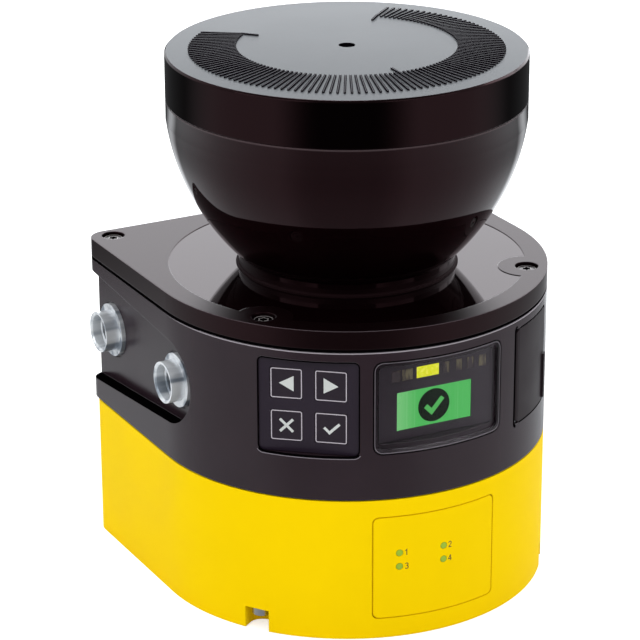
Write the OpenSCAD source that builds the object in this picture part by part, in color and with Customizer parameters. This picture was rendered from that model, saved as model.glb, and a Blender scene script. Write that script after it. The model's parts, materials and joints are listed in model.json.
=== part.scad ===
// Safety laser scanner: a D-shaped body with a round scanning head on top.
// Frame: +Z up, the optical axis is x = 0, y = 0, the front faces -Y, and z = 0 is the resting face.

/* [Body] */
// Radius of the round front, and half of the body's width
body_r = 56; // [53:0.5:60]
// Distance from the optical axis to the back face
body_back = 54; // [50:0.5:58]
// Radius of the two upright back corners
corner_r = 5.5; // [4:0.5:8]
// Height of the lower plug unit
plug_h = 41; // [38:0.5:46]
// Wall of the lower plug unit
plug_wall = 3; // [2:0.25:4]
// Height of the main housing
housing_h = 42.3; // [41.5:0.1:48]
// Wall of the main housing
housing_wall = 3.2; // [2.5:0.1:4]
// Joint between the plug unit and the main housing
plug_seam = 0.4; // [0.2:0.1:1]
// Joint between the main housing and the optics flange
flange_seam = 1; // [0.6:0.1:1.4]

/* [Scanning head] */
// Thickness of the optics flange
flange_t = 5.2; // [4.5:0.1:7]
// Width of the matt rim outside the glossy round field on the flange
gloss_margin = 6.2; // [5.4:0.1:9]
// Depth of the glossy field below the matt flange
gloss_depth = 0.15; // [0.1:0.05:0.3]
// Radius of the scanning head
head_r = 49.7; // [46:0.1:52]
// Height from the flange to the seam of the top cap
window_h = 47.7; // [44:0.1:52]
// Height of the top cap's band
band_h = 13.2; // [11:0.1:16]
// Rise of the top cap's middle above its rim
dome_rise = 0.9; // [0.4:0.05:1.2]
// Radius of the bowl's curved side, seen from the side
bowl_arc_r = 64.8; // [62:0.1:68]
// Height of that curve's centre above the cap's seam
bowl_arc_rise = 2.5; // [1.5:0.1:4]
// How far that curve would bulge past the head if nothing cut it
bowl_bulge = 0.5; // [0.3:0.1:0.8]
// Radius of the neck between flange and bowl
neck_r = 30.2; // [28:0.1:33]
// Fillet where the neck meets the flange
neck_fillet = 0.7; // [0.5:0.1:2.4]
// Wall of the neck, bowl and top cap
head_wall = 2.5; // [2:0.1:3]

/* [Angle scale] */
// Angle between two raised graduation marks
mark_step = 2.5; // [2.5:2.5:5]
// Whole angle that the marks cover
mark_sweep = 275; // [230:5:275]
// Distance from the cap's rim to the outer ends of the marks
mark_margin = 6.7; // [5.2:0.1:8]
// Length of a mark
mark_len = 12.6; // [10:0.1:14]
// How much further in the three long marks reach
mark_extra = 4.2; // [3:0.1:6]
// Width of a mark
mark_w = 0.62; // [0.4:0.02:0.8]
// Turn of the whole scale from the front, towards the right
mark_turn = -1.8; // [-5:0.1:5]
// Height of a mark above the cap
mark_h = 0.38; // [0.2:0.02:0.6]
// Radius of the blind hole in the middle of the cap
dimple_r = 2.3; // [1.5:0.1:3.5]

/* [Keypad] */
// Direction that the keypad faces, from the front towards +X
keypad_turn = -39.4; // [-41:0.1:-39]
// Depth of the keypad's face below the middle of the round front
keypad_sink = 2.1; // [1.7:0.1:2.5]
// Side of the square keypad
keypad_size = 27.1; // [26:0.1:28]
// Distance of the keypad's middle below the top of the housing
keypad_down = 16.1; // [15.5:0.1:17]
// Side of a key
key_size = 8.7; // [7:0.1:9.6]
// Gap round each key
key_gap = 0.12; // [0.1:0.01:0.3]
// Distance between the middles of two neighbouring keys
key_pitch = 12.1; // [11:0.1:12.5]
// Thickness of the keypad frame
keypad_t = 2; // [1.6:0.1:2.2]
// Travel of a key
key_travel = 0.4; // [0.2:0.05:0.5]

/* [Display] */
// Direction that the display window faces, from the front towards +X
window_turn = -1.1; // [-2:0.1:0]
// Width of the display window
window_w = 38.6; // [36:0.1:40]
// Height of the display window
window_tall = 26.4; // [25:0.1:28]
// Distance of the window's middle below the top of the housing
window_down = 16.05; // [15.5:0.05:17]
// Thickness of the window
window_t = 2; // [1.5:0.1:2.5]
// Width of the raised frame round the window's edge
window_rim = 1.3; // [0.8:0.1:2]
// Depth of the window's middle below that frame
window_sink = 0.5; // [0.3:0.1:0.8]
// Corner radius of the window
window_corner = 2.6; // [1:0.1:4]
// Width of the ledge that the window rests on
window_ledge = 2.2; // [1.5:0.1:3]
// Width of the lit screen
screen_w = 22.3; // [20:0.1:24]
// Height of the lit screen
screen_tall = 10.8; // [9:0.1:12]
// Depth of the screen's face below the middle of the round front
screen_sink = 5; // [4.6:0.1:6]

/* [Connectors] */
// Depth of the recess for the two sockets
recess_depth = 3.7; // [3:0.1:4.5]
// Radius of the recess's round front end
recess_end_r = 12.4; // [11.5:0.1:13]
// Distance of the recess's round end below the top of the housing
recess_down = 19.4; // [18.5:0.1:20]
// Rise of the recess's upper edge towards the back
recess_rise = 4.2; // [2:0.1:4.6]
// Drop of the recess's lower edge towards the back
recess_drop = 5.6; // [3:0.1:7]
// Distance behind the optical axis of the front socket
socket_y = 0.6; // [0:0.1:3]
// Distance between the two sockets
socket_pitch = 43.2; // [38:0.1:43.5]
// Distance of the sockets below the top of the housing
socket_down = 20.2; // [19.5:0.1:21]
// Radius of a socket's flange
socket_flange_r = 7.65; // [7:0.05:7.8]
// Height of the flange above the recess's floor
socket_flange_t = 1; // [0.6:0.1:1.5]
// Outside radius of a socket's barrel
barrel_r = 5.85; // [5.6:0.05:6.2]
// Height of the barrel above its flange
barrel_h = 3.9; // [3:0.1:5]
// Radius of the bore that takes the plug
barrel_bore_r = 4.9; // [4.6:0.05:5.1]
// Free depth of that bore
barrel_bore_h = 5.5; // [4.5:0.1:6.5]

/* [Service port] */
// Direction that the flap faces, from the front towards +X
flap_turn = 37.6; // [36:0.1:38.5]
// Width of the flap
flap_w = 21; // [19:0.1:22]
// Height of the flap
flap_tall = 27.4; // [26:0.1:28]
// Distance of the flap's middle below the top of the housing
flap_down = 16.5; // [15.8:0.1:17]
// Thickness of the flap
flap_t = 2.2; // [1.8:0.1:2.4]
// Radius of the flap's hinge pin
flap_pin_r = 0.6; // [0.5:0.05:0.7]

/* [Indicator panel] */
// Direction that the panel faces, from the front towards +X
panel_turn = -2.3; // [-4:0.1:0]
// Width of the panel
panel_w = 36.4; // [32:0.1:38]
// Height of the panel
panel_tall = 29.8; // [27:0.1:31]
// Height of the panel's middle
panel_z = 20.9; // [19.5:0.1:21.5]
// Thickness of the panel
panel_t = 1.2; // [0.8:0.1:1.6]
// Width of the groove round the panel
panel_gap = 0.25; // [0.15:0.05:0.4]
// Radius of an indicator light
lamp_r = 0.9; // [0.7:0.05:1.2]

/* [Screws] */
// Distance of the two front cover screws from the round front
cover_screw_inset = 5.8; // [5.5:0.1:6.5]
// Angle of the front screws from the front
front_screw_turn = 54.7; // [54:0.1:56]
// Distance of the back cover screws from the flank
back_screw_side = 6.7; // [6:0.1:8]
// Distance of the back cover screws from the back face
back_screw_back = 4.9; // [4.6:0.1:6]
// Radius of a screw head
screw_head_r = 2.7; // [2.4:0.05:2.9]
// Height of a screw head
screw_head_h = 2.2; // [1.8:0.1:2.6]
// Radius of a screw shank
screw_r = 1.5; // [1.2:0.05:1.6]
// Radius of the pocket round a screw head
screw_pocket_r = 3.3; // [3.1:0.05:3.5]
// Height of the open notches at the foot of the front
notch_h = 6.3; // [5:0.1:8]
// Half the width of a notch
notch_r = 3.6; // [3.4:0.1:4]
// Distance of the two lower front screws from the round front
notch_inset = 3; // [2.8:0.1:3.5]

/* [Rear mounting holes] */
// Core radius of a threaded mounting hole
mount_hole_r = 2.1; // [1.65:0.05:2.5]
// Depth of a mounting hole
mount_hole_h = 7.5; // [6:0.1:9]
// Distance of the holes from the flanks
mount_margin = 16; // [14:1:26]
// Distance between the holes, up and down
mount_high = 24; // [20:0.5:26]
// Distance of the middle of the hole pattern below the top of the housing
mount_down = 21.2; // [20:0.1:22]

/* [Scanning mechanism] */
// Outside radius of the motor
motor_r = 15; // [12:0.5:18]
// Height of the motor
motor_h = 20; // [16:0.5:24]
// Radius of the motor shaft
shaft_r = 2; // [1.5:0.1:3]
// Radius of the mirror's carrier
carrier_r = 20; // [16:0.5:22]
// Width of the scanning mirror
mirror_w = 30; // [24:0.5:32]
// Thickness of the scanning mirror
mirror_t = 2; // [1.5:0.1:3]
// Radius of the receiver lens
lens_r = 19; // [15:0.5:22]
// Radius of the laser tube
laser_r = 4.5; // [3:0.1:6]

/* [Fits] */
// Clearance round a seated piece
fit = 0.1; // [0.05:0.01:0.15]
// Clearance round a key and the flap
run_gap = 0.3; // [0.25:0.01:0.35]
// Clearance beside the flap's hinge, where its face swings past the housing
hinge_gap = 0.65; // [0.6:0.01:0.8]
// Running clearance of a pin or shaft in its bore
pin_gap = 0.05; // [0.02:0.01:0.08]

/* [Hidden] */
$fn = 96;
eps = 0.01;
blend = 0.03;                              // how far a straight side runs inside the round end it leaves

housing_z = plug_h + plug_seam;            // underside of the main housing
housing_top = housing_z + housing_h;
flange_z = housing_top + flange_seam;      // underside of the optics flange
flange_top = flange_z + flange_t;
seam_z = flange_top + window_h;            // seam between bowl and top cap
rim_z = seam_z + band_h;                   // rim of the top cap

gloss_r = body_r - gloss_margin;
bowl_arc_x = bowl_arc_r - head_r - bowl_bulge;
bowl_arc_z = window_h + bowl_arc_rise;
mark_r_out = head_r - mark_margin;
mark_r_in = mark_r_out - mark_len;

keypad_z = housing_top - keypad_down;
window_z = housing_top - window_down;
flap_z = housing_top - flap_down;
recess_z = housing_top - recess_down;
socket_z = housing_top - socket_down;
mount_z = housing_top - mount_down;
mount_wide = 2 * (body_r - mount_margin);
keypad_reach = body_r - keypad_sink;       // distance of the keypad's face from the optical axis
screen_reach = body_r - screen_sink;
cover_screw_ring = body_r - cover_screw_inset;
notch_ring = body_r - notch_inset;

plug_set_back = 0.8;                       // the plug unit ends short of the housing's back
plug_corner_r = corner_r + 1.5;
plug_floor = 3;
housing_floor = 3;
board_z = plug_floor + 9;                  // underside of the board in the plug unit
plug = [40, 9];                            // plug between the two units, across and deep
plug_bite = 1.5;
well = [48, 18];                           // opening in the housing's floor for that plug
well_y = 17;
seal_inset = 1.1;
boss_wall = 3.4;                           // material behind a pocket in the housing's wall
column_r = 6;                              // radius of the upright screw columns
cap_plate = 3;
cap_seam = 0.15;                           // visible joint under the top cap
rim_chamfer = 0.5;
spigot_h = 3;
dimple_depth = 1.5;

keypad_floor = keypad_reach - keypad_t - 1.2;
keypad_corner = 1.4;
board_t = 1;
key_t = keypad_t - key_travel - 0.2;       // a key leaves room behind it for its travel
screen_shift = -0.35;                      // the screen sits a little left of the window's middle
screen_drop = 2.8;                         // and below it
mask_t = 0.8;
light_z = window_z + 7.5;
// left and right end of each status light, as shares of half the window's opening
light_spans = [[-0.77, -0.62], [-0.585, -0.405], [-0.33, 0.055], [0.145, 0.24], [0.37, 0.46],
               [0.565, 0.665], [0.77, 0.89]];
light_tall = 3.1;
lit_light = 2;

socket_face = body_r - recess_depth;       // distance of the recess's floor from the optical axis
socket_places = [socket_y, socket_y + socket_pitch];
insert_t = 4;
socket_tail = 6;
contact_ring = 2.6;
contact_r = 0.5;
contact_count = 4;

flap_half = flap_w / 2;
knuckle_r = 1.2;
// hinge axis of the flap, across and out, in the direction the flap faces
flap_axis = [knuckle_r - flap_half,
             sqrt(pow(body_r, 2) - pow(flap_half - knuckle_r, 2)) - knuckle_r - 0.05];
flap_seat = body_r - 2 * knuckle_r - 0.4;  // floor of the flap's pocket
lip_w = 1.8;                               // finger lip at the flap's free edge
lip_tall = 13;
lip_z = -6.6;
lip_proud = 0.6;
pin_stub = 1.4;                            // length of the hinge pin held in the housing at each end
port_hole = [14, 20];
port_depth = 3;
usb = [9, 3.2, 6];

front_screws = [for (s = [-1, 1]) cover_screw_ring * [s * sin(front_screw_turn), -cos(front_screw_turn)]];
back_screws = [for (s = [-1, 1]) [s * (body_r - back_screw_side), body_back - back_screw_back]];
plug_front_screws = [for (s = [-1, 1]) notch_ring * [s * sin(front_screw_turn), -cos(front_screw_turn)]];
screw_sink = 0.8;                          // depth of the cover screws' heads below the flange
screw_island_r = 8;                        // matt island round each front screw
screw_bite = 8;                            // length of a screw in its tapped hole

motor_z = housing_z + housing_floor + 12;  // top of the chassis plate
chassis_t = 3;
chassis_r = 36;
bearing_r = 5;
bearing_h = 4;
magnet_r = motor_r - 5;
carrier_z = flange_top + 8;
carrier_t = 2.5;
wedge_half = 12;
cap_underside = rim_z - cap_plate;
lens_z = seam_z - 4;
lens_t = 4;

// ---- shared shapes ----

// D-shaped outline: round front, straight flanks and two rounded back corners
module plan(r, back, corner) {
    intersection() {
        circle(r = r, $fn = 180);
        translate([-r, -r]) square([2 * r, r + 1]);
    }
    translate([-r, 0]) square([2 * r, back - corner]);
    translate([corner - r, 0]) square([2 * (r - corner), back]);
    for (s = [-1, 1]) translate([s * (r - corner), back - corner]) circle(r = corner);
}

module plan_block(z0, z1, inset = 0) {
    translate([0, 0, z0]) linear_extrude(z1 - z0) plan(body_r - inset, body_back - inset, corner_r);
}

module rounded(w, h, r) {
    square([w - 2 * r, h], center = true);
    square([w, h - 2 * r], center = true);
    for (x = [-1, 1], y = [-1, 1]) translate([x * (w / 2 - r), y * (h / 2 - r)]) circle(r = r, $fn = 32);
}

// turns a child whose face lies at z = reach, with x to the right and y up, to face the given direction
module facing(turn, z) {
    translate([0, 0, z]) rotate([0, 0, turn]) rotate([90, 0, 0]) children();
}

// a prism of a 2D outline between two distances from the optical axis
module prism(turn, z, near, far) {
    facing(turn, z) translate([0, 0, near]) linear_extrude(far - near) children();
}

// the part of a prism that lies in a shell round the optical axis
module curved(turn, z, r_in, r_out) {
    intersection() {
        translate([0, 0, z - 40]) difference() {
            cylinder(r = r_out, h = 80, $fn = 180);
            translate([0, 0, -1]) cylinder(r = r_in, h = 82, $fn = 180);
        }
        prism(turn, z, 20, r_out + 5) children();
    }
}

// socket-headed screw that points down, with the top of its head at z = 0
module cover_screw(length) {
    color([0.16, 0.16, 0.17]) difference() {
        union() {
            translate([0, 0, -screw_head_h]) cylinder(r = screw_head_r, h = screw_head_h);
            translate([0, 0, -length]) cylinder(r = screw_r, h = length - screw_head_h + eps);
        }
        translate([0, 0, -1.3]) for (a = [0, 60, 120]) rotate([0, 0, a])
            translate([-1.35, -0.45, 0]) cube([2.7, 0.9, 3]);
    }
}

module cover_screw_at(place) {
    length = flange_t - screw_sink + flange_seam + screw_bite;
    translate([place[0], place[1], flange_top - screw_sink]) cover_screw(length);
}

module plug_screw_at(place) {
    translate([place[0], place[1], notch_h - screw_head_h]) mirror([0, 0, 1])
        cover_screw(housing_z + housing_floor + 4 - notch_h + screw_head_h);
}

// a hole for a screw shank, with its clearance
module shank_hole(place, z0, z1) {
    translate([place[0], place[1], z0]) cylinder(r = screw_r + pin_gap, h = z1 - z0);
}

// ---- plug unit ----

module plug_plan(inset) {
    plan(body_r - inset, body_back - plug_set_back - inset, plug_corner_r);
}

module plug_columns(z0, z1) {
    for (p = concat(plug_front_screws, back_screws)) translate([p[0], p[1], z0])
        cylinder(r = column_r, h = z1 - z0);
}

module notch(place) {
    angle = atan2(place[1], place[0]);
    translate([place[0], place[1], -1]) {
        cylinder(r = notch_r, h = notch_h + 1);
        side = notch_r - blend;
        rotate([0, 0, angle]) translate([0, -side, 0]) cube([body_r, 2 * side, notch_h + 1 - blend]);
    }
}

module panel_outline(gap) {
    rounded(panel_w + 2 * gap, panel_tall + 2 * gap, 1.6);
}

module lamp_places() {
    for (x = [-11.2, 1.7], z = [4.15, 0.1]) translate([x, z]) children();
}

module plug_housing() {
    color([0.98, 0.83, 0.02]) difference() {
        union() {
            difference() {
                linear_extrude(plug_h) plug_plan(0);
                translate([0, 0, plug_floor]) linear_extrude(plug_h) plug_plan(plug_wall);
            }
            intersection() {
                linear_extrude(plug_h) plug_plan(0);
                plug_columns(0, plug_h);
            }
        }
        for (p = plug_front_screws) notch(p);
        for (p = back_screws) translate([p[0], p[1], -1]) cylinder(r = notch_r, h = notch_h + 1);
        for (p = concat(plug_front_screws, back_screws)) shank_hole(p, 1, plug_h + 1);
        curved(panel_turn, panel_z, body_r - panel_t - fit, body_r + 1) panel_outline(panel_gap);
        prism(panel_turn, panel_z, body_r - 8, body_r) lamp_places() circle(r = lamp_r + fit, $fn = 32);
    }
}

module indicator_panel() {
    color([0.97, 0.82, 0.05]) difference() {
        curved(panel_turn, panel_z, body_r - panel_t, body_r) panel_outline(0);
        prism(panel_turn, panel_z, body_r - 8, body_r + 2) lamp_places() circle(r = lamp_r + fit, $fn = 32);
    }
}

module indicator_lamps() {
    color([0.3, 0.75, 0.2]) curved(panel_turn, panel_z, body_r - plug_wall - 1, body_r) lamp_places()
        circle(r = lamp_r, $fn = 32);
}

module plug_seal() {
    color([0.1, 0.1, 0.1]) translate([0, 0, plug_h]) linear_extrude(plug_seam) difference() {
        plug_plan(seal_inset);
        plug_plan(plug_wall + 0.4);
        for (p = concat(plug_front_screws, back_screws)) translate([p[0], p[1]]) circle(r = screw_r + 0.6);
    }
}

module plug_board() {
    color([0.1, 0.35, 0.2]) translate([-34, -26, board_z]) cube([68, 60, 1.6]);
    color([0.6, 0.6, 0.6]) for (x = [-30, 30], y = [-22, 30]) translate([x, y, plug_floor])
        cylinder(r = 3, h = board_z - plug_floor);
}

module plug_connector() {
    color([0.12, 0.12, 0.12]) translate([-plug[0] / 2, well_y - plug[1] / 2, board_z + 1.6])
        cube([plug[0], plug[1], plug_h + plug_bite - board_z - 1.6]);
}

// ---- main housing ----

// outline of the recess for the sockets: x is the distance behind the optical axis, y the height
module recess_outline() {
    side = recess_end_r - blend;
    top = [-sin(recess_rise), cos(recess_rise)] * side;
    low = [-sin(recess_drop), -cos(recess_drop)] * side;
    run = body_back + 6 - socket_y;
    translate([socket_y, recess_z]) {
        circle(r = recess_end_r);
        polygon([[0, 0], top, [run, top[1] + (run - top[0]) * tan(recess_rise)],
                 [run, low[1] - (run - low[0]) * tan(recess_drop)], low]);
    }
}

// places a child at a socket's middle, with z pointing out of the left flank from the recess's floor
module at_socket(y) {
    translate([-socket_face, y, socket_z]) rotate([0, -90, 0]) children();
}

module keypad_outline(gap) {
    rounded(keypad_size + 2 * gap, keypad_size + 2 * gap, keypad_corner);
}

module window_outline(gap) {
    rounded(window_w + 2 * gap, window_tall + 2 * gap, window_corner + min(gap, 0));
}

module window_hole(inset = 0) {
    rounded(window_w - 2 * window_ledge - 2 * inset, window_tall - 2 * window_ledge - 2 * inset, 1);
}

module flap_outline() {
    rounded(flap_w, flap_tall, 2);
}

module flap_pocket() {
    wide = flap_w + run_gap + hinge_gap;
    tall = flap_tall + 2 * run_gap;
    translate([(run_gap - hinge_gap) / 2, 0]) rounded(wide, tall, 2);
    translate([(run_gap - hinge_gap) / 2 - wide / 4, 0]) rounded(wide / 2, tall, blend * 10);
}

// a cylinder on the flap's hinge axis, with the given half length
module on_flap_axis(r, half) {
    facing(flap_turn, flap_z) translate([flap_axis[0], 0, flap_axis[1]]) rotate([90, 0, 0])
        translate([0, 0, -half]) cylinder(r = r, h = 2 * half, $fn = 48);
}

module housing_bosses() {
    intersection() {
        plan_block(housing_z, housing_top);
        union() {
            prism(keypad_turn, keypad_z, keypad_floor - boss_wall, body_r)
                rounded(keypad_size + 5, keypad_size + 2, 2);
            prism(window_turn, window_z, screen_reach - 6, body_r)
                rounded(window_w + 4, window_tall + 2, 2);
            prism(flap_turn, flap_z, body_r - 12, body_r) rounded(flap_w + 5, flap_tall + 2, 2);
            translate([-body_r, -14, recess_z - 22]) cube([recess_depth + boss_wall, body_back + 14, 42]);
            for (p = concat(front_screws, back_screws)) translate([p[0], p[1], housing_z])
                cylinder(r = column_r, h = housing_h);
            for (p = plug_front_screws) translate([p[0], p[1], housing_z]) cylinder(r = column_r, h = 10);
            for (x = [-1, 1]) translate([x * mount_wide / 2 - 6, body_back - 12, housing_z])
                cube([12, 12, housing_h]);
        }
    }
}

module main_housing() {
    color([0.16, 0.15, 0.16]) difference() {
        union() {
            difference() {
                plan_block(housing_z, housing_top);
                plan_block(housing_z + housing_floor, housing_top + 1, housing_wall);
                translate([-well[0] / 2, well_y - well[1] / 2, housing_z - 1]) cube([well[0], well[1], 10]);
            }
            housing_bosses();
        }
        // sockets
        translate([-socket_face, 0, 0]) rotate([0, 0, 90]) rotate([90, 0, 0])
            mirror([0, 0, 1]) linear_extrude(recess_depth + 5) recess_outline();
        for (y = socket_places) at_socket(y) {
            translate([0, 0, -10]) cylinder(r = barrel_r + fit, h = 12);
            translate([0, 0, -0.5]) cylinder(r = socket_flange_r + 0.5, h = 2);
        }
        // keypad and display
        prism(keypad_turn, keypad_z, keypad_floor, body_r + 2) keypad_outline(fit);
        curved(window_turn, window_z, body_r - window_t - fit, body_r + 1) window_outline(fit);
        prism(window_turn, window_z, 38, body_r) window_hole();
        // service port
        curved(flap_turn, flap_z, flap_seat, body_r + 1) flap_pocket();
        prism(flap_turn, flap_z, flap_seat - port_depth, body_r) rounded(port_hole[0], port_hole[1], 1.5);
        prism(flap_turn, flap_z, 38, body_r) square([usb[0] + 2 * fit, usb[1] + 2 * fit], center = true);
        on_flap_axis(flap_pin_r + fit / 2, flap_tall / 2 + pin_stub + fit);
        // screws and mounting holes
        for (p = concat(front_screws, back_screws))
            shank_hole(p, housing_top - screw_bite - 1, housing_top + 1);
        for (p = concat(plug_front_screws, back_screws))
            shank_hole(p, housing_z - 1, housing_z + housing_floor + 5);
        for (x = [-1, 1], z = [-1, 1])
            translate([x * mount_wide / 2, body_back - mount_hole_h, mount_z + z * mount_high / 2])
                rotate([-90, 0, 0]) cylinder(r = mount_hole_r, h = mount_hole_h + 1);
    }
}

module chassis() {
    color([0.62, 0.63, 0.65]) {
        difference() {
            translate([0, 0, motor_z - chassis_t]) cylinder(r = chassis_r, h = chassis_t);
            translate([0, 0, motor_z - chassis_t - 1]) cylinder(r = 6, h = chassis_t + 2);
        }
        for (a = [-150, -90, -30, 90]) rotate([0, 0, a])
            translate([chassis_r - 4, 0, housing_z + housing_floor])
            cylinder(r = 3, h = motor_z - 1 - housing_z - housing_floor);
    }
}

module main_board() {
    color([0.1, 0.35, 0.2]) translate([-36, body_back - 15, housing_z + housing_floor]) cube([72, 1.6, 34]);
}

// box header that reaches down through the well in the housing's floor
module board_connector() {
    color([0.12, 0.12, 0.12]) difference() {
        union() {
            translate([-well[0] / 2 + 1, well_y - well[1] / 2 + 1, plug_h - 2])
                cube([well[0] - 2, well[1] - 2, 6]);
            translate([-well[0] / 2 - 3, well_y - well[1] / 2 - 1.5, housing_z + housing_floor])
                cube([well[0] + 6, well[1] + 3, 1.6]);
        }
        translate([-plug[0] / 2 - fit, well_y - plug[1] / 2 - fit, plug_h - 3])
            cube([plug[0] + 2 * fit, plug[1] + 2 * fit, 3 + plug_bite + fit]);
    }
}

// ---- sockets ----

module socket_at(y) {
    color([0.8, 0.82, 0.84]) at_socket(y) difference() {
        union() {
            translate([0, 0, -0.5]) cylinder(r = socket_flange_r, h = socket_flange_t + 0.5);
            translate([0, 0, -socket_tail])
                cylinder(r = barrel_r, h = socket_tail + socket_flange_t + barrel_h);
        }
        mouth = socket_flange_t + barrel_h;
        translate([0, 0, mouth - barrel_bore_h]) cylinder(r = barrel_bore_r, h = barrel_bore_h + 1);
        translate([0, 0, -socket_tail - 1]) cylinder(r = barrel_bore_r - 0.6, h = socket_tail + mouth);
        translate([0, 0, mouth - 0.4]) cylinder(r1 = barrel_bore_r, r2 = barrel_bore_r + 0.5, h = 0.5);
    }
}

module insert_at(y) {
    color([0.1, 0.1, 0.1]) at_socket(y) difference() {
        translate([0, 0, socket_flange_t + barrel_h - barrel_bore_h - insert_t])
            cylinder(r = barrel_bore_r - 0.6 - fit / 2, h = insert_t);
        contact_places() translate([0, 0, -socket_tail - 1])
            cylinder(r = contact_r + fit, h = 20, $fn = 24);
    }
}

module contact_places() {
    for (i = [0:contact_count - 1]) rotate([0, 0, 45 + i * 360 / contact_count])
        translate([contact_ring, 0, 0]) children();
}

module contacts_at(y) {
    foot = socket_flange_t + barrel_h - barrel_bore_h - insert_t - 1.5;
    color([0.85, 0.7, 0.35]) at_socket(y) contact_places() translate([0, 0, foot])
        cylinder(r = contact_r, h = insert_t + 1.3, $fn = 24);
}

// ---- keypad ----

// column and row of each key, from the middle of the keypad
module key_prism(col, row, near, far, gap) {
    prism(keypad_turn, keypad_z, near, far)
        translate([col * key_pitch / 2, row * key_pitch / 2])
            rounded(key_size + 2 * gap, key_size + 2 * gap, 0.5);
}

module keypad_frame() {
    color([0.15, 0.14, 0.15]) difference() {
        prism(keypad_turn, keypad_z, keypad_reach - keypad_t, keypad_reach) keypad_outline(0);
        for (col = [-1, 1], row = [-1, 1])
            key_prism(col, row, keypad_reach - keypad_t - 1, keypad_reach + 1, key_gap);
    }
}

module keypad_board() {
    color([0.1, 0.35, 0.2])
        prism(keypad_turn, keypad_z, keypad_reach - keypad_t - board_t, keypad_reach - keypad_t)
        keypad_outline(-0.5);
}

module key_at(col, row) {
    color([0.17, 0.16, 0.17]) key_prism(col, row, keypad_reach - key_t, keypad_reach, 0);
}

// ---- display ----

module screen_outline(gap) {
    translate([screen_shift, -screen_drop])
        square([screen_w + 2 * gap, screen_tall + 2 * gap], center = true);
}

module light_outline(i, gap) {
    span = light_spans[i] * (window_w / 2 - window_ledge);
    translate([span[0] - gap, light_z - window_z - light_tall / 2 - gap])
        square([span[1] - span[0] + 2 * gap, light_tall + 2 * gap]);
}

module display_window() {
    color([0.2, 0.17, 0.18, 0.6]) difference() {
        curved(window_turn, window_z, body_r - window_t, body_r) window_outline(0);
        curved(window_turn, window_z, body_r - window_sink, body_r + 1) window_outline(-window_rim);
    }
}

module display_mask() {
    color([0.07, 0.07, 0.07]) difference() {
        prism(window_turn, window_z, screen_reach - mask_t, screen_reach) window_hole(fit);
        prism(window_turn, window_z, screen_reach - mask_t - 1, screen_reach + 1) {
            screen_outline(fit);
            for (i = [0:len(light_spans) - 1]) light_outline(i, fit);
        }
    }
}

module display_screen() {
    color([0.31, 0.76, 0.35]) {
        prism(window_turn, window_z, screen_reach - 3, screen_reach - 0.1) screen_outline(0);
        prism(window_turn, window_z, screen_reach - 3, screen_reach - mask_t - fit) screen_outline(1);
    }
}

module light_at(i) {
    prism(window_turn, window_z, screen_reach - 3, screen_reach) light_outline(i, 0);
}

module status_light() {
    color([0.88, 0.92, 0.0]) light_at(lit_light);
}

module status_lights_off() {
    color([0.3, 0.28, 0.24]) for (i = [0:len(light_spans) - 1]) if (i != lit_light) light_at(i);
}

module display_board() {
    color([0.1, 0.35, 0.2]) prism(window_turn, window_z, screen_reach - 3 - board_t, screen_reach - 3)
        window_hole(fit);
}

// ---- service port ----

module port_flap() {
    color([0.15, 0.15, 0.16]) difference() {
        intersection() {
            prism(flap_turn, flap_z, body_r - 10, body_r + 2) flap_outline();
            union() {
                curved(flap_turn, flap_z, body_r - flap_t, body_r)
                    translate([flap_axis[0], -flap_tall]) square([flap_w, 2 * flap_tall]);
                on_flap_axis(knuckle_r, flap_tall);
                curved(flap_turn, flap_z, body_r - flap_t, body_r + lip_proud)
                    translate([flap_half - lip_w, lip_z - lip_tall / 2]) square([lip_w + 1, lip_tall]);
            }
        }
        on_flap_axis(flap_pin_r + pin_gap, flap_tall);
    }
}

module flap_pin() {
    color([0.7, 0.71, 0.73]) on_flap_axis(flap_pin_r, flap_tall / 2 + pin_stub);
}

module service_port() {
    color([0.75, 0.76, 0.78]) difference() {
        prism(flap_turn, flap_z, flap_seat - port_depth - usb[2], flap_seat - 1)
            square([usb[0], usb[1]], center = true);
        prism(flap_turn, flap_z, flap_seat - port_depth - 4, body_r)
            square([usb[0] - 0.8, usb[1] - 0.8], center = true);
    }
    color([0.1, 0.1, 0.1]) prism(flap_turn, flap_z, flap_seat - port_depth - 4, flap_seat - 1.6)
        square([usb[0] - 2.2, 0.8], center = true);
}

// ---- optics ----

module flange_seal() {
    color([0.05, 0.05, 0.05]) translate([0, 0, housing_top]) linear_extrude(flange_seam) difference() {
        plan(body_r - seal_inset, body_back - seal_inset, corner_r);
        plan(body_r - housing_wall, body_back - housing_wall, corner_r);
        for (p = concat(front_screws, back_screws)) translate([p[0], p[1]]) circle(r = screw_r + 0.6);
    }
}

// half section of the bowl, with y measured up from the top of the flange
module bowl_half(offset_in) {
    intersection() {
        translate([-bowl_arc_x, bowl_arc_z]) circle(r = bowl_arc_r - offset_in, $fn = 240);
        translate([0, -1]) square([head_r - offset_in, window_h + 1]);
    }
    translate([0, -flange_t]) square([neck_r - offset_in, flange_t + 12]);
}

module neck_foot() {
    difference() {
        translate([0, -1]) square([neck_r + neck_fillet, neck_fillet + 1]);
        translate([neck_r + neck_fillet, neck_fillet]) circle(r = neck_fillet, $fn = 48);
    }
}

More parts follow.
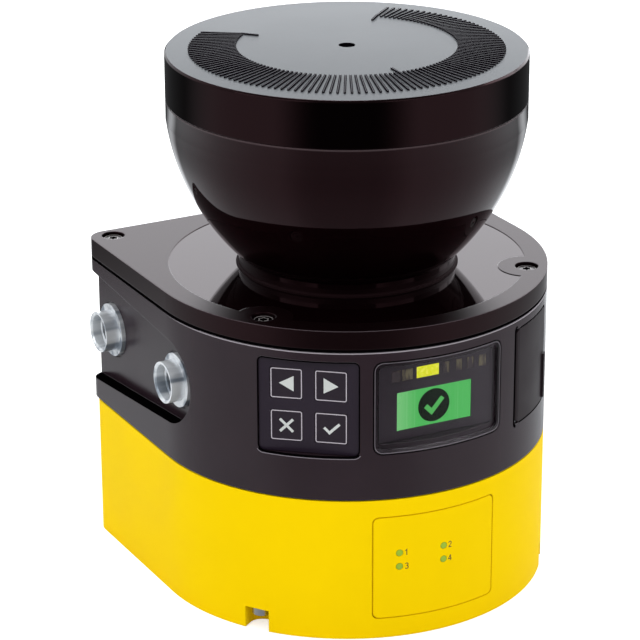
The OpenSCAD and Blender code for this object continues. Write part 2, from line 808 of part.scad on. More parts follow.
module optics_cover() {
    color([0.13, 0.11, 0.12]) difference() {
        union() {
            plan_block(flange_z, flange_top);
            translate([0, 0, flange_top]) rotate_extrude($fn = 180) intersection() {
                union() {
                    bowl_half(0);
                    neck_foot();
                }
                translate([0, -0.5]) square([head_r + 1, window_h + 1]);
            }
        }
        translate([0, 0, flange_top]) rotate_extrude($fn = 180) intersection() {
            bowl_half(head_wall);
            translate([0, -flange_t - 1]) square([head_r, window_h + flange_t + 2]);
        }
        translate([0, 0, flange_top + window_h - 0.5]) cylinder(r = head_r - head_wall, h = 2, $fn = 180);
        translate([0, 0, flange_z - 1]) cylinder(r = neck_r - head_wall, h = 3, $fn = 180);
        // glossy field, which leaves a matt island round each front screw
        translate([0, 0, flange_top - gloss_depth]) linear_extrude(1) difference() {
            circle(r = gloss_r, $fn = 180);
            circle(r = neck_r + neck_fillet, $fn = 180);
            for (p = front_screws) translate([p[0], p[1]]) circle(r = screw_island_r);
        }
        for (p = concat(front_screws, back_screws)) {
            translate([p[0], p[1], flange_top - screw_sink - screw_head_h])
                cylinder(r = screw_pocket_r, h = 5);
            shank_hole(p, flange_z - 1, flange_top);
        }
    }
}

// raised bar with round ends along x, whose top lies at the given height
module bar(length, height) {
    sunk = 0.3;
    translate([0, -mark_w / 2, -sunk]) cube([length, mark_w, height + sunk]);
    for (x = [0, length]) translate([x, 0, -sunk])
        cylinder(r = mark_w / 2 - blend / 4, h = height + sunk, $fn = 24);
}

// graduation mark that follows the slope of the dome
module mark(angle) {
    slope = atan(dome_rise / (mark_len + mark_w));
    rotate([0, 0, angle - 90]) translate([mark_r_in, 0, rim_z + dome_rise]) rotate([0, slope, 0])
        bar(mark_len, mark_h);
}

module long_mark(angle) {
    mark(angle);
    rotate([0, 0, angle - 90]) translate([mark_r_in - mark_extra, 0, rim_z + dome_rise])
        bar(mark_extra + mark_w, mark_h);
}

module cap_body() {
    spigot_out = head_r - head_wall - fit;
    spigot_in = spigot_out - 2;
    translate([0, 0, seam_z]) rotate_extrude($fn = 180) polygon([
        [0, band_h - cap_plate], [spigot_in, band_h - cap_plate], [spigot_in, -spigot_h],
        [spigot_out, -spigot_h], [spigot_out, cap_seam], [head_r, cap_seam],
        [head_r, band_h - rim_chamfer], [head_r - rim_chamfer, band_h], [mark_r_out + mark_w, band_h],
        [mark_r_in, band_h + dome_rise], [0, band_h + dome_rise]]);
}

module top_cap() {
    half = mark_sweep / 2;
    color([0.6, 0.61, 0.62]) {
        difference() {
            cap_body();
            translate([0, 0, rim_z + dome_rise - dimple_depth]) cylinder(r = dimple_r, h = 3);
        }
        for (i = [1:mark_sweep / mark_step - 1]) if (abs(i * mark_step - half) > eps)
            mark(i * mark_step - half + mark_turn);
        for (a = [-half, 0, half]) long_mark(a + mark_turn);
    }
}

// ---- scanning mechanism ----

// motor can with a bearing seat at each end and room for the magnet between them
module motor() {
    seat = bearing_h + 0.5;
    color([0.3, 0.31, 0.33]) translate([0, 0, motor_z]) difference() {
        cylinder(r = motor_r, h = motor_h);
        translate([0, 0, -1]) cylinder(r = bearing_r, h = motor_h + 2);
        translate([0, 0, seat]) cylinder(r = magnet_r + run_gap, h = motor_h - 2 * seat);
        for (a = [0:30:330]) rotate([0, 0, a]) translate([motor_r, 0, 3])
            cylinder(r = 1.2, h = motor_h - 6, $fn = 24);
    }
}

module motor_bearing() {
    color([0.75, 0.76, 0.78]) for (z = [0, motor_h - bearing_h]) translate([0, 0, motor_z + z])
        difference() {
        cylinder(r = bearing_r - pin_gap, h = bearing_h);
        translate([0, 0, -1]) cylinder(r = shaft_r + pin_gap, h = bearing_h + 2);
    }
}

// shaft with its magnet, the carrier and the wedge that holds the mirror at 45 degrees
module rotor() {
    seat = bearing_h + 0.5 + run_gap;
    color([0.2, 0.2, 0.21]) {
        translate([0, 0, motor_z + 0.5]) cylinder(r = shaft_r, h = carrier_z - motor_z);
        translate([0, 0, motor_z + seat]) cylinder(r = magnet_r, h = motor_h - 2 * seat);
        translate([0, 0, carrier_z]) cylinder(r = carrier_r, h = carrier_t);
        translate([0, mirror_w / 2 - 3, carrier_z + carrier_t]) rotate([90, 0, 0])
            linear_extrude(mirror_w - 6)
            polygon([[-wedge_half, 0], [wedge_half, 0], [wedge_half, 2 * wedge_half]]);
    }
}

module scan_mirror() {
    length = 2 * wedge_half * sqrt(2);
    color([0.85, 0.87, 0.9]) translate([-wedge_half, -mirror_w / 2, carrier_z + carrier_t])
        rotate([0, -45, 0])
        translate([1, 0, 0]) cube([length - 1, mirror_w, mirror_t]);
}

module receiver_barrel() {
    color([0.12, 0.12, 0.13]) translate([0, 0, lens_z - 1]) difference() {
        cylinder(r = lens_r + 1.8, h = cap_underside - lens_z + 1);
        translate([0, 0, 1]) cylinder(r = lens_r + fit / 2, h = cap_underside - lens_z + 1);
        translate([0, 0, -1]) cylinder(r = lens_r - 1.2, h = 4);
    }
}

module receiver_lens() {
    color([0.6, 0.25, 0.25, 0.6]) translate([0, 0, lens_z]) difference() {
        cylinder(r = lens_r, h = lens_t);
        translate([0, 0, -1]) cylinder(r = laser_r + fit / 2, h = lens_t + 2);
    }
}

module laser_tube() {
    color([0.7, 0.6, 0.35]) translate([0, 0, lens_z]) difference() {
        cylinder(r = laser_r, h = cap_underside - lens_z);
        translate([0, 0, -1]) cylinder(r = laser_r - 1.5, h = 4);
    }
}

plug_housing();
indicator_panel();
indicator_lamps();
plug_seal();
plug_board();
plug_connector();
plug_screw_at(plug_front_screws[0]);  // plug_screw_left
plug_screw_at(plug_front_screws[1]);  // plug_screw_right
plug_screw_at(back_screws[0]);  // plug_screw_back_left
plug_screw_at(back_screws[1]);  // plug_screw_back_right
main_housing();
chassis();
main_board();
board_connector();
socket_at(socket_places[0]);  // socket_front
socket_at(socket_places[1]);  // socket_rear
insert_at(socket_places[0]);  // insert_front
insert_at(socket_places[1]);  // insert_rear
contacts_at(socket_places[0]);  // contacts_front
contacts_at(socket_places[1]);  // contacts_rear
keypad_frame();
keypad_board();
key_at(-1, 1);  // key_back
key_at(1, 1);  // key_next
key_at(-1, -1);  // key_cancel
key_at(1, -1);  // key_confirm
display_window();
display_mask();
display_screen();
status_light();
status_lights_off();
display_board();
port_flap();
flap_pin();
service_port();
flange_seal();
optics_cover();
cover_screw_at(front_screws[0]);  // cover_screw_left
cover_screw_at(front_screws[1]);  // cover_screw_right
cover_screw_at(back_screws[0]);  // cover_screw_back_left
cover_screw_at(back_screws[1]);  // cover_screw_back_right
top_cap();
motor();
motor_bearing();
rotor();
scan_mirror();
receiver_barrel();
receiver_lens();
laser_tube();
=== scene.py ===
import json
import math
import bpy
import numpy as np
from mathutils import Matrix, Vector


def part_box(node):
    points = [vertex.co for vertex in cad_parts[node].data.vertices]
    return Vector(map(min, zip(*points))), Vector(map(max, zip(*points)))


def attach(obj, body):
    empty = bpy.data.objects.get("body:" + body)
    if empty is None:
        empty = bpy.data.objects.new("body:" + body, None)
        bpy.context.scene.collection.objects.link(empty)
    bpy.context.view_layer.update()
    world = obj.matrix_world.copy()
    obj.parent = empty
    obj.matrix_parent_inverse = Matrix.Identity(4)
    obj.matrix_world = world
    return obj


# Safety laser scanner: yellow plug housing, dark electronics housing, optics bowl and grey cap.
# All places come from the CAD frame, in metres. Settings give lengths in mm unless a note says otherwise.

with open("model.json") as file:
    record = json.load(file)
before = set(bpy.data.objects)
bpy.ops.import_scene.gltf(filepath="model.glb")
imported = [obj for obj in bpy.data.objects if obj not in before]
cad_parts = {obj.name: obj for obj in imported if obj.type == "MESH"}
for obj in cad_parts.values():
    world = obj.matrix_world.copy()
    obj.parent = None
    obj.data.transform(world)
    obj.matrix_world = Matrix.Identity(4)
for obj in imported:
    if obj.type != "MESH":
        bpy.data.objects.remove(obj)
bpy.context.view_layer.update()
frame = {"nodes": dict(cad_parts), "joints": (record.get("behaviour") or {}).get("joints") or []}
nodes = frame["nodes"]
mm = 0.001
print("frame loaded,", len(nodes), "nodes")


# place in metres, angles in degrees, shift in parts of the frame's width
cameraSettings = {
    "place": (-0.36287, -0.66650, 0.36541), "azimuth": -28.566, "elevation": 20.992, "lens": 162.48,
    "sensor": 36, "shift": (-0.0421, -0.0140), "clip": (0.05, 20)
}


def addCamera(settings):
    data = bpy.data.cameras.new("camera")
    data.lens, data.sensor_width = settings["lens"], settings["sensor"]
    data.shift_x, data.shift_y = settings["shift"]
    data.clip_start, data.clip_end = settings["clip"]
    camera = bpy.data.objects.new("camera", data)
    camera.location = settings["place"]
    tilt, turn = math.radians(90 - settings["elevation"]), math.radians(settings["azimuth"])
    camera.rotation_euler = (tilt, 0, turn)
    bpy.context.scene.collection.objects.link(camera)
    bpy.context.scene.camera = camera


coolWhite = (0.93, 0.965, 1.0)
lampAim = (0, 0, 0.08)
# radiance is the softbox's own brightness, where 1 is a white sheet in full light; places and sizes in metres
lampSettings = {
    "softboxBehind": {"place": (0.72, 0.85, 0.44), "size": (1.3, 0.8), "radiance": 1.75},
    "softboxLeft": {"place": (-0.95, -0.15, 0.75), "size": (0.9, 0.6), "radiance": 2.3},
    "softboxAbove": {"place": (-0.05, 0.25, 1.3), "size": (0.6, 0.6), "radiance": 4.2},
    "softboxFront": {"place": (0.39, -0.88, 0.75), "size": (0.9, 0.6), "radiance": 1.75},
    "softboxRight": {"place": (1.0, 0.1, 0.5), "size": (0.35, 0.8), "radiance": 2.3},
}


def addLamp(name, settings):
    wide, tall = settings["size"]
    data = bpy.data.lights.new(name, "AREA")
    data.shape = "RECTANGLE"
    data.size, data.size_y = wide, tall
    data.energy = settings["radiance"] * math.pi * wide * tall
    data.color = coolWhite
    lamp = bpy.data.objects.new(name, data)
    lamp.location = settings["place"]
    aim = Vector(lampAim) - lamp.location
    lamp.rotation_euler = aim.to_track_quat("-Z", "Y").to_euler()
    bpy.context.scene.collection.objects.link(lamp)


def feed(tree, socket, value):
    # links another node's output, or sets a constant
    if isinstance(value, bpy.types.NodeSocket):
        tree.links.new(value, socket)
    else:
        socket.default_value = value


def addNode(tree, kind, settings=None, **inputs):
    # i0, i1 and so on name an input by its index, any other name by its label
    made = tree.nodes.new(kind)
    for key, value in (settings or {}).items():
        setattr(made, key, value)
    for key, value in inputs.items():
        label = int(key[1:]) if key[0] == "i" and key[1:].isdigit() else key.replace("_", " ")
        feed(tree, made.inputs[label], value)
    return made


def maths(tree, operation, a, b=0.0):
    return addNode(tree, "ShaderNodeMath", {"operation": operation}, i0=a, i1=b).outputs[0]


def plus(tree, a, b):
    return maths(tree, "ADD", a, b)


def minus(tree, a, b):
    return maths(tree, "SUBTRACT", a, b)


def times(tree, a, b):
    return maths(tree, "MULTIPLY", a, b)


def larger(tree, a, b):
    return maths(tree, "MAXIMUM", a, b)


def vectorMaths(tree, operation, a, b=(0.0, 0.0, 0.0)):
    made = addNode(tree, "ShaderNodeVectorMath", {"operation": operation}, i0=a, i1=b)
    return made.outputs["Value" if operation in ("DOT_PRODUCT", "LENGTH") else "Vector"]


def split(tree, vector):
    return addNode(tree, "ShaderNodeSeparateXYZ", Vector=vector).outputs


def combine(tree, x, y, z):
    return addNode(tree, "ShaderNodeCombineXYZ", X=x, Y=y, Z=z).outputs[0]


def objectPlace(tree):
    return addNode(tree, "ShaderNodeTexCoord").outputs["Object"]


def facing(tree):
    return addNode(tree, "ShaderNodeNewGeometry").outputs["Normal"]


def noise(tree, place, scale, detail=2.0, roughness=0.5):
    made = addNode(tree, "ShaderNodeTexNoise", Vector=place, Scale=scale, Detail=detail, Roughness=roughness)
    return made.outputs["Fac"]


def stretched(tree, scale):
    return addNode(tree, "ShaderNodeMapping", Vector=objectPlace(tree), Scale=scale).outputs[0]


def mixColour(tree, share, a, b):
    return addNode(tree, "ShaderNodeMix", {"data_type": "RGBA"}, i0=share, i6=a, i7=b).outputs[2]


def mixNormal(tree, share, a, b):
    return addNode(tree, "ShaderNodeMix", {"data_type": "VECTOR"}, i0=share, i4=a, i5=b).outputs[1]


def ramp(tree, value, low, high, start=0.0, end=1.0, how="SMOOTHSTEP"):
    # start up to low, end from high on, and a soft passage between them
    return addNode(tree, "ShaderNodeMapRange", {"interpolation_type": how}, Value=value, From_Min=low,
                   From_Max=high, To_Min=start, To_Max=end).outputs["Result"]


def rampMm(tree, value, low, high):
    return ramp(tree, value, low * mm, high * mm)


def srgb(red, green, blue):
    # screen colour 0..255 to the linear colour that a shader takes
    share = np.array([red, green, blue]) / 255.0
    linear = np.where(share <= 0.04045, share / 12.92, ((share + 0.055) / 1.055) ** 2.4)
    return (*[float(v) for v in linear], 1.0)


def newGroup(name, inputs, outputs):
    tree = bpy.data.node_groups.new(name, "ShaderNodeTree")
    for label, kind, value in inputs:
        socket = tree.interface.new_socket(name=label, in_out="INPUT", socket_type="NodeSocket" + kind)
        socket.default_value = value
    for label, kind in outputs:
        tree.interface.new_socket(name=label, in_out="OUTPUT", socket_type="NodeSocket" + kind)
    return tree, tree.nodes.new("NodeGroupInput").outputs, tree.nodes.new("NodeGroupOutput").inputs


def useGroup(tree, group, **inputs):
    made = tree.nodes.new("ShaderNodeGroup")
    made.node_tree = group
    for label, value in inputs.items():
        feed(tree, made.inputs[label], value)
    return made.outputs


# cosines between the rounded and the flat normal: where an edge begins, and where it is full
edgeSettings = {"radius": 0.3, "samples": 6, "cosines": (0.985, 0.75)}


def buildEdgeGroup(settings):
    # rounded shading at sharp edges, and a mask that is 1 on them
    tree, given, wanted = newGroup("edgeRound", [("Radius", "Float", settings["radius"] * mm)],
                                   [("Normal", "Vector"), ("Edge", "Float")])
    soft = addNode(tree, "ShaderNodeBevel", {"samples": settings["samples"]}, Radius=given["Radius"])
    cosine = vectorMaths(tree, "DOT_PRODUCT", soft.outputs["Normal"], facing(tree))
    feed(tree, wanted["Normal"], soft.outputs["Normal"])
    feed(tree, wanted["Edge"], ramp(tree, cosine, *settings["cosines"]))
    return tree


# the broad and the slow noise are these times coarser than the fine one
grainSettings = {
    "scale": 3000.0, "fineDetail": 3.0, "fineRoughness": 0.6, "broad": 9.0, "slow": 90.0, "slowDetail": 4.0,
    "blotch": (0.3, 0.7)
}


def buildGrainGroup(settings):
    # the fine even texture of moulded plastic: two sizes of noise added, and a third for slow blotches
    tree, given, wanted = newGroup("mouldGrain", [("Scale", "Float", settings["scale"])],
                                   [("Height", "Float"), ("Blotch", "Float")])
    place = objectPlace(tree)
    fine = noise(tree, place, given["Scale"], settings["fineDetail"], settings["fineRoughness"])
    broad = noise(tree, place, maths(tree, "DIVIDE", given["Scale"], settings["broad"]))
    feed(tree, wanted["Height"], plus(tree, fine, broad))
    slow = noise(tree, place, maths(tree, "DIVIDE", given["Scale"], settings["slow"]), settings["slowDetail"])
    feed(tree, wanted["Blotch"], ramp(tree, slow, *settings["blotch"]))
    return tree


toneSettings = {
    "colour": (0.5, 0.5, 0.5, 1), "spread": 0.1, "blotch": 0.5, "edge": 0.0, "wear": 0.1,
    "worn": (0.6, 0.6, 0.6, 1)
}


def buildToneGroup(settings):
    # a colour that drifts a little over the surface and pales along sharp edges: partly edge wear, mostly a
    # painted highlight on those edges
    numbers = [(key.title(), "Float", settings[key]) for key in ("spread", "blotch", "edge", "wear")]
    inputs = [("Colour", "Color", settings["colour"])] + numbers
    tree, given, wanted = newGroup("toneDrift", inputs, [("Colour", "Color")])
    darker = minus(tree, 1.0, given["Spread"])
    scale = plus(tree, darker, times(tree, given["Blotch"], times(tree, given["Spread"], 2.0)))
    drift = addNode(tree, "ShaderNodeVectorMath", {"operation": "SCALE"}, i0=given["Colour"],
                    Scale=scale).outputs[0]
    # painted highlight, with some wear: pale colour mixed in along sharp edges
    share = times(tree, given["Edge"], given["Wear"])
    feed(tree, wanted["Colour"], mixColour(tree, share, drift, settings["worn"]))
    return tree


edgeRound = buildEdgeGroup(edgeSettings)
mouldGrain = buildGrainGroup(grainSettings)
toneDrift = buildToneGroup(toneSettings)
print("shader groups built")


# what a finish has where its own look names nothing else; drift is the share by which its roughness varies
plainLook = {
    "edge": 0.25, "grain": 0.1, "grainScale": 3000.0, "grainDepth": 0.02, "spread": 0.06, "wear": 0.05,
    "drift": 0.1, "metallic": 0.0, "ior": 1.5, "specular": 0.5, "coat": 0.0, "glowStrength": 1.0
}
lookSockets = {"metallic": "Metallic", "ior": "IOR", "specular": "Specular IOR Level", "coat": "Coat Weight"}


def startMaterial(name):
    material = bpy.data.materials.new(name)
    material.use_nodes = True
    tree = material.node_tree
    return material, tree, tree.nodes["Principled BSDF"]


def finish(name, ownLook, extra=None):
    # one moulded or metal finish; extra(tree, shader, parts) may change the sockets after that
    look = {**plainLook, **ownLook}
    material, tree, shader = startMaterial(name)
    edge = useGroup(tree, edgeRound, Radius=look["edge"] * mm)
    grain = useGroup(tree, mouldGrain, Scale=look["grainScale"])
    tone = useGroup(tree, toneDrift, Colour=look["colour"], Spread=look["spread"], Blotch=grain["Blotch"],
                    Edge=edge["Edge"], Wear=look["wear"])["Colour"]
    feed(tree, shader.inputs["Base Color"], tone)
    low, high = look["roughness"] * (1 - look["drift"]), look["roughness"] * (1 + look["drift"])
    feed(tree, shader.inputs["Roughness"], ramp(tree, grain["Blotch"], 0.0, 1.0, low, high))
    bump = addNode(tree, "ShaderNodeBump", Strength=look["grain"], Distance=look["grainDepth"] * mm,
                   Height=grain["Height"], Normal=edge["Normal"])
    feed(tree, shader.inputs["Normal"], bump.outputs["Normal"])
    for key, label in lookSockets.items():
        shader.inputs[label].default_value = look[key]
    if "glow" in look:
        shader.inputs["Emission Color"].default_value = look["glow"]
        shader.inputs["Emission Strength"].default_value = look["glowStrength"]
    if extra:
        extra(tree, shader, {"edge": edge, "tone": tone, "bump": bump})
    return material


def radiusFromAxis(tree):
    # distance from the scan axis, and height, of the point being shaded
    place = split(tree, objectPlace(tree))
    across = times(tree, place["X"], place["X"])
    along = times(tree, place["Y"], place["Y"])
    return maths(tree, "SQRT", plus(tree, across, along)), place["Z"]


# pairs are where a mask begins and where it is full; mark angles in degrees
capLook = {
    "colour": srgb(86, 88, 91), "roughness": 0.44, "grain": 0.25, "grainScale": 5200.0, "grainDepth": 0.03,
    "spread": 0.03, "edge": 0.3, "wear": 0.0, "ior": 1.38, "side": srgb(45, 30, 32), "sideRoughness": 0.06,
    "rise": 0.9, "markHeight": 0.38, "scaleOut": 43.6, "scaleIn": 30.4, "markStep": 2.5, "markTurn": 91.8,
    "mark": srgb(34, 28, 36), "markRoughness": 0.9, "crest": (0.095, 0.038), "band": (47.2, 47.0),
    "domeUp": (0.8, 0.95), "domeAbove": (0.3, 0.2), "crown": 1.6, "markLean": (-0.43, -0.79, 0.44),
    "markShare": 0.6
}


def capFinish(tree, shader, parts):
    # grey on the dome, partly a painted sheen for the pale backdrop that the dark plastic reflects; glossy on
    # the band and the rim, dull on the raised marks with a polished crest
    look = capLook
    up = split(tree, facing(tree))["Z"]
    place = split(tree, objectPlace(tree))
    radius, height = radiusFromAxis(tree)
    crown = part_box("top_cap")[1].z - look["markHeight"] * mm
    slope = ramp(tree, radius, look["scaleIn"] * mm, look["scaleOut"] * mm, 0.0, look["rise"] * mm, "LINEAR")
    above = minus(tree, height, minus(tree, crown, slope))
    dome = times(tree, ramp(tree, up, *look["domeUp"]), rampMm(tree, above, *look["domeAbove"]))
    # distance across a mark: the angle left over from the nearest whole step, times the radius
    turn = maths(tree, "DEGREES", maths(tree, "ARCTAN2", place["Y"], place["X"]))
    turn = plus(tree, turn, look["markTurn"] + 360)
    half = look["markStep"] / 2
    across = minus(tree, maths(tree, "MODULO", plus(tree, turn, half), look["markStep"]), half)
    across = maths(tree, "ABSOLUTE", times(tree, maths(tree, "RADIANS", across), radius))
    crest = rampMm(tree, across, *look["crest"])
    mark = rampMm(tree, radius, *look["band"])
    dark = mixColour(tree, mark, look["side"], look["mark"])
    # painted sheen: the dome's grey base colour stands in, in part, for reflected light
    feed(tree, shader.inputs["Base Color"], mixColour(tree, dome, dark, parts["tone"]))
    # outside the dome there is no diffuse light, only a dark tinted reflection
    feed(tree, shader.inputs["Metallic"], minus(tree, 1.0, dome))
    dull = times(tree, mark, minus(tree, 1.0, crest))
    low = ramp(tree, dull, 0.0, 1.0, look["sideRoughness"], look["markRoughness"])
    satin = times(tree, dome, look["roughness"])
    rest = times(tree, minus(tree, 1.0, dome), low)
    feed(tree, shader.inputs["Roughness"], plus(tree, satin, rest))
    # the dome is shaded as one even crown, without the line where its cone begins
    lean = combine(tree, times(tree, place["X"], look["crown"]), times(tree, place["Y"], look["crown"]), 1.0)
    even = vectorMaths(tree, "NORMALIZE", lean)
    # the dull marks are shaded as if they leaned towards the dim side of the studio
    leaned = mixNormal(tree, times(tree, dull, look["markShare"]), parts["edge"]["Normal"],
                       combine(tree, *look["markLean"]))
    feed(tree, parts["bump"].inputs["Normal"], mixNormal(tree, dome, leaned, even))


# pairs are where a mask begins and where it is full, except lip and bump; border is half a soft edge's width
coverLook = {
    "colour": srgb(9, 2, 3), "tint": (1.0, 0.5, 0.56, 1), "roughness": 0.045, "grain": 0.02,
    "grainScale": 2600.0, "spread": 0.2, "edge": 0.4, "wear": 0.0, "ior": 1.36, "plate": 49.8, "matt": 0.34,
    "island": 8.0, "screws": ("cover_screw_left", "cover_screw_right"), "border": 0.12, "steep": (0.6, 0.3),
    "flange": (92.5, 91.5), "bump": (0.02, 0.15), "neckTop": (105.0, 101.0), "neckRadius": (33.0, 30.0),
    "neckRoughness": 0.07, "foot": (31.1, 30.9), "footTop": (90.8, 90.5), "footRoughness": 0.8,
    "lip": (0.6, 0.2), "lipColour": srgb(72, 62, 64), "lipShare": 0.8, "rimLine": srgb(118, 108, 114),
    "rimFrom": (51.0, 52.0), "rimAbove": (88.0, 89.0), "rimShare": 0.9, "taper": 14.0, "taperLean": -0.2,
    "straight": 5.5, "kink": -0.125, "kinkBorder": 0.2
}


def coverFinish(tree, shader, parts):
    # polished inside a circle, matt on the outer ring and round each screw
    look = coverLook
    radius, height = radiusFromAxis(tree)
    place = objectPlace(tree)
    geometry = facing(tree)
    outer = rampMm(tree, radius, look["plate"] - look["border"], look["plate"] + look["border"])
    for screw in look["screws"]:
        low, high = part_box(screw)
        centre = (low + high) / 2
        away = vectorMaths(tree, "SUBTRACT", place, (centre.x, centre.y, high.z))
        reach = vectorMaths(tree, "LENGTH", away)
        near = rampMm(tree, reach, look["island"] + look["border"], look["island"] - look["border"])
        outer = larger(tree, outer, near)
    flange = rampMm(tree, height, *look["flange"])
    sides = ramp(tree, split(tree, geometry)["Z"], *look["steep"])
    matt = times(tree, larger(tree, outer, sides), flange)
    neck = times(tree, rampMm(tree, height, *look["neckTop"]), rampMm(tree, radius, *look["neckRadius"]))
    polish = ramp(tree, neck, 0.0, 1.0, look["roughness"], look["neckRoughness"])
    foot = times(tree, rampMm(tree, radius, *look["foot"]), rampMm(tree, height, *look["footTop"]))
    polish = larger(tree, polish, times(tree, foot, look["footRoughness"]))
    feed(tree, shader.inputs["Roughness"], larger(tree, polish, times(tree, matt, look["matt"])))
    feed(tree, parts["bump"].inputs["Strength"], ramp(tree, matt, 0.0, 1.0, *look["bump"]))
    shader.inputs["Specular Tint"].default_value = look["tint"]
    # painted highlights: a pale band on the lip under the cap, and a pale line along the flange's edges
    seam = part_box("optics_cover")[1].z
    lipFrom, lipTo = [seam - depth * mm for depth in look["lip"]]
    lip = times(tree, ramp(tree, height, lipFrom, lipTo), look["lipShare"])
    rim = times(tree, rampMm(tree, radius, *look["rimFrom"]), rampMm(tree, height, *look["rimAbove"]))
    line = times(tree, times(tree, parts["edge"]["Edge"], times(tree, flange, rim)), look["rimShare"])
    colour = mixColour(tree, lip, parts["tone"], look["lipColour"])
    feed(tree, shader.inputs["Base Color"], mixColour(tree, line, colour, look["rimLine"]))
    # the top of the bowl is shaded as if it already tapered
    taper = ramp(tree, height, seam - look["taper"] * mm, seam, 0.0, look["taperLean"])
    corner, soft = seam - look["straight"] * mm, look["kinkBorder"] * mm
    taper = plus(tree, taper, ramp(tree, height, corner - soft, corner + soft, 0.0, look["kink"]))
    rounded = mixNormal(tree, neck, parts["edge"]["Normal"], geometry)
    leaning = vectorMaths(tree, "ADD", rounded, combine(tree, 0.0, 0.0, taper))
    feed(tree, parts["bump"].inputs["Normal"], vectorMaths(tree, "NORMALIZE", leaning))


# depths where the painted highlight, a pale line under the top edge, begins and is full, and the two places,
# from back to front, between which it comes up
housingLook = {
    "rimLine": srgb(205, 196, 204), "rimDepths": (0.3, 0.255), "rimShare": 0.55, "rimFade": (5.0, -20.0)
}


def housingFinish(tree, shader, parts):
    # a painted highlight: a pale line along the front of the top edge, under the black band
    look = housingLook
    place = split(tree, objectPlace(tree))
    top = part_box("main_housing")[1].z
    back, front = [y * mm for y in look["rimFade"]]
    share = ramp(tree, place["Y"], back, front, 0.0, look["rimShare"])
    rim = times(tree, share, ramp(tree, place["Z"], *[top - depth * mm for depth in look["rimDepths"]]))
    feed(tree, shader.inputs["Base Color"], mixColour(tree, rim, parts["tone"], look["rimLine"]))


streakRange = (0.42, 0.62)
socketLook = {"band": srgb(140, 148, 158), "bandScale": 240.0, "stretch": (0.12, 1.0, 1.0)}


def socketFinish(tree, shader, parts):
    # turned metal with painted reflections: pale and darker bands that run along the socket's axis
    bands = noise(tree, stretched(tree, socketLook["stretch"]), socketLook["bandScale"])
    share = ramp(tree, bands, *streakRange)
    feed(tree, shader.inputs["Base Color"], mixColour(tree, share, parts["tone"], socketLook["band"]))


lampLook = {
    "patchScale": 520.0, "patchDetail": 3.0, "stretch": (1.0, 1.0, 0.35), "olive": srgb(128, 124, 88),
    "speckle": srgb(244, 248, 90), "speckleScale": 900.0, "speckleRange": (0.45, 0.75)
}


def dimFinish(tree, shader, parts):
    # an unlit lamp shows as uneven upright streaks
    look = lampLook
    streaks = noise(tree, stretched(tree, look["stretch"]), look["patchScale"], look["patchDetail"])
    dark = finishes["maskPrint"]["colour"]
    colour = mixColour(tree, ramp(tree, streaks, *streakRange), dark, look["olive"])
    feed(tree, shader.inputs["Base Color"], colour)


def litFinish(tree, shader, parts):
    # the lit lamp is a little uneven, with brighter spots
    look = lampLook
    spots = ramp(tree, noise(tree, objectPlace(tree), look["speckleScale"]), *look["speckleRange"])
    colour = mixColour(tree, spots, finishes["litLens"]["glow"], look["speckle"])
    feed(tree, shader.inputs["Emission Color"], colour)


# paleEnd and streaks: where it begins, where it is full, and the two shares of the paler green
screenLook = {
    "colour": srgb(10, 30, 12), "roughness": 0.3, "glow": srgb(72, 196, 88), "glowStrength": 0.95,
    "paleGlow": srgb(136, 220, 140), "streakScale": 1300.0, "paleEnd": (0.34, 0.0, 0.0, 0.75),
    "streaks": (0.5, 0.75, 0.0, 0.28)
}


def screenFinish(tree, shader, parts):
    # lit liquid-crystal screen: faint upright streaks, paler towards the left end
    look = screenLook
    low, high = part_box("display_screen")
    place = split(tree, objectPlace(tree))
    across = ramp(tree, place["X"], low.x, high.x, how="LINEAR")
    streaks = addNode(tree, "ShaderNodeTexNoise", {"noise_dimensions": "1D"}, Scale=1.0, Detail=2.0,
                      W=times(tree, place["X"], look["streakScale"])).outputs["Fac"]
    pale = plus(tree, ramp(tree, across, *look["paleEnd"]), ramp(tree, streaks, *look["streaks"]))
    feed(tree, shader.inputs["Emission Color"], mixColour(tree, pale, look["glow"], look["paleGlow"]))


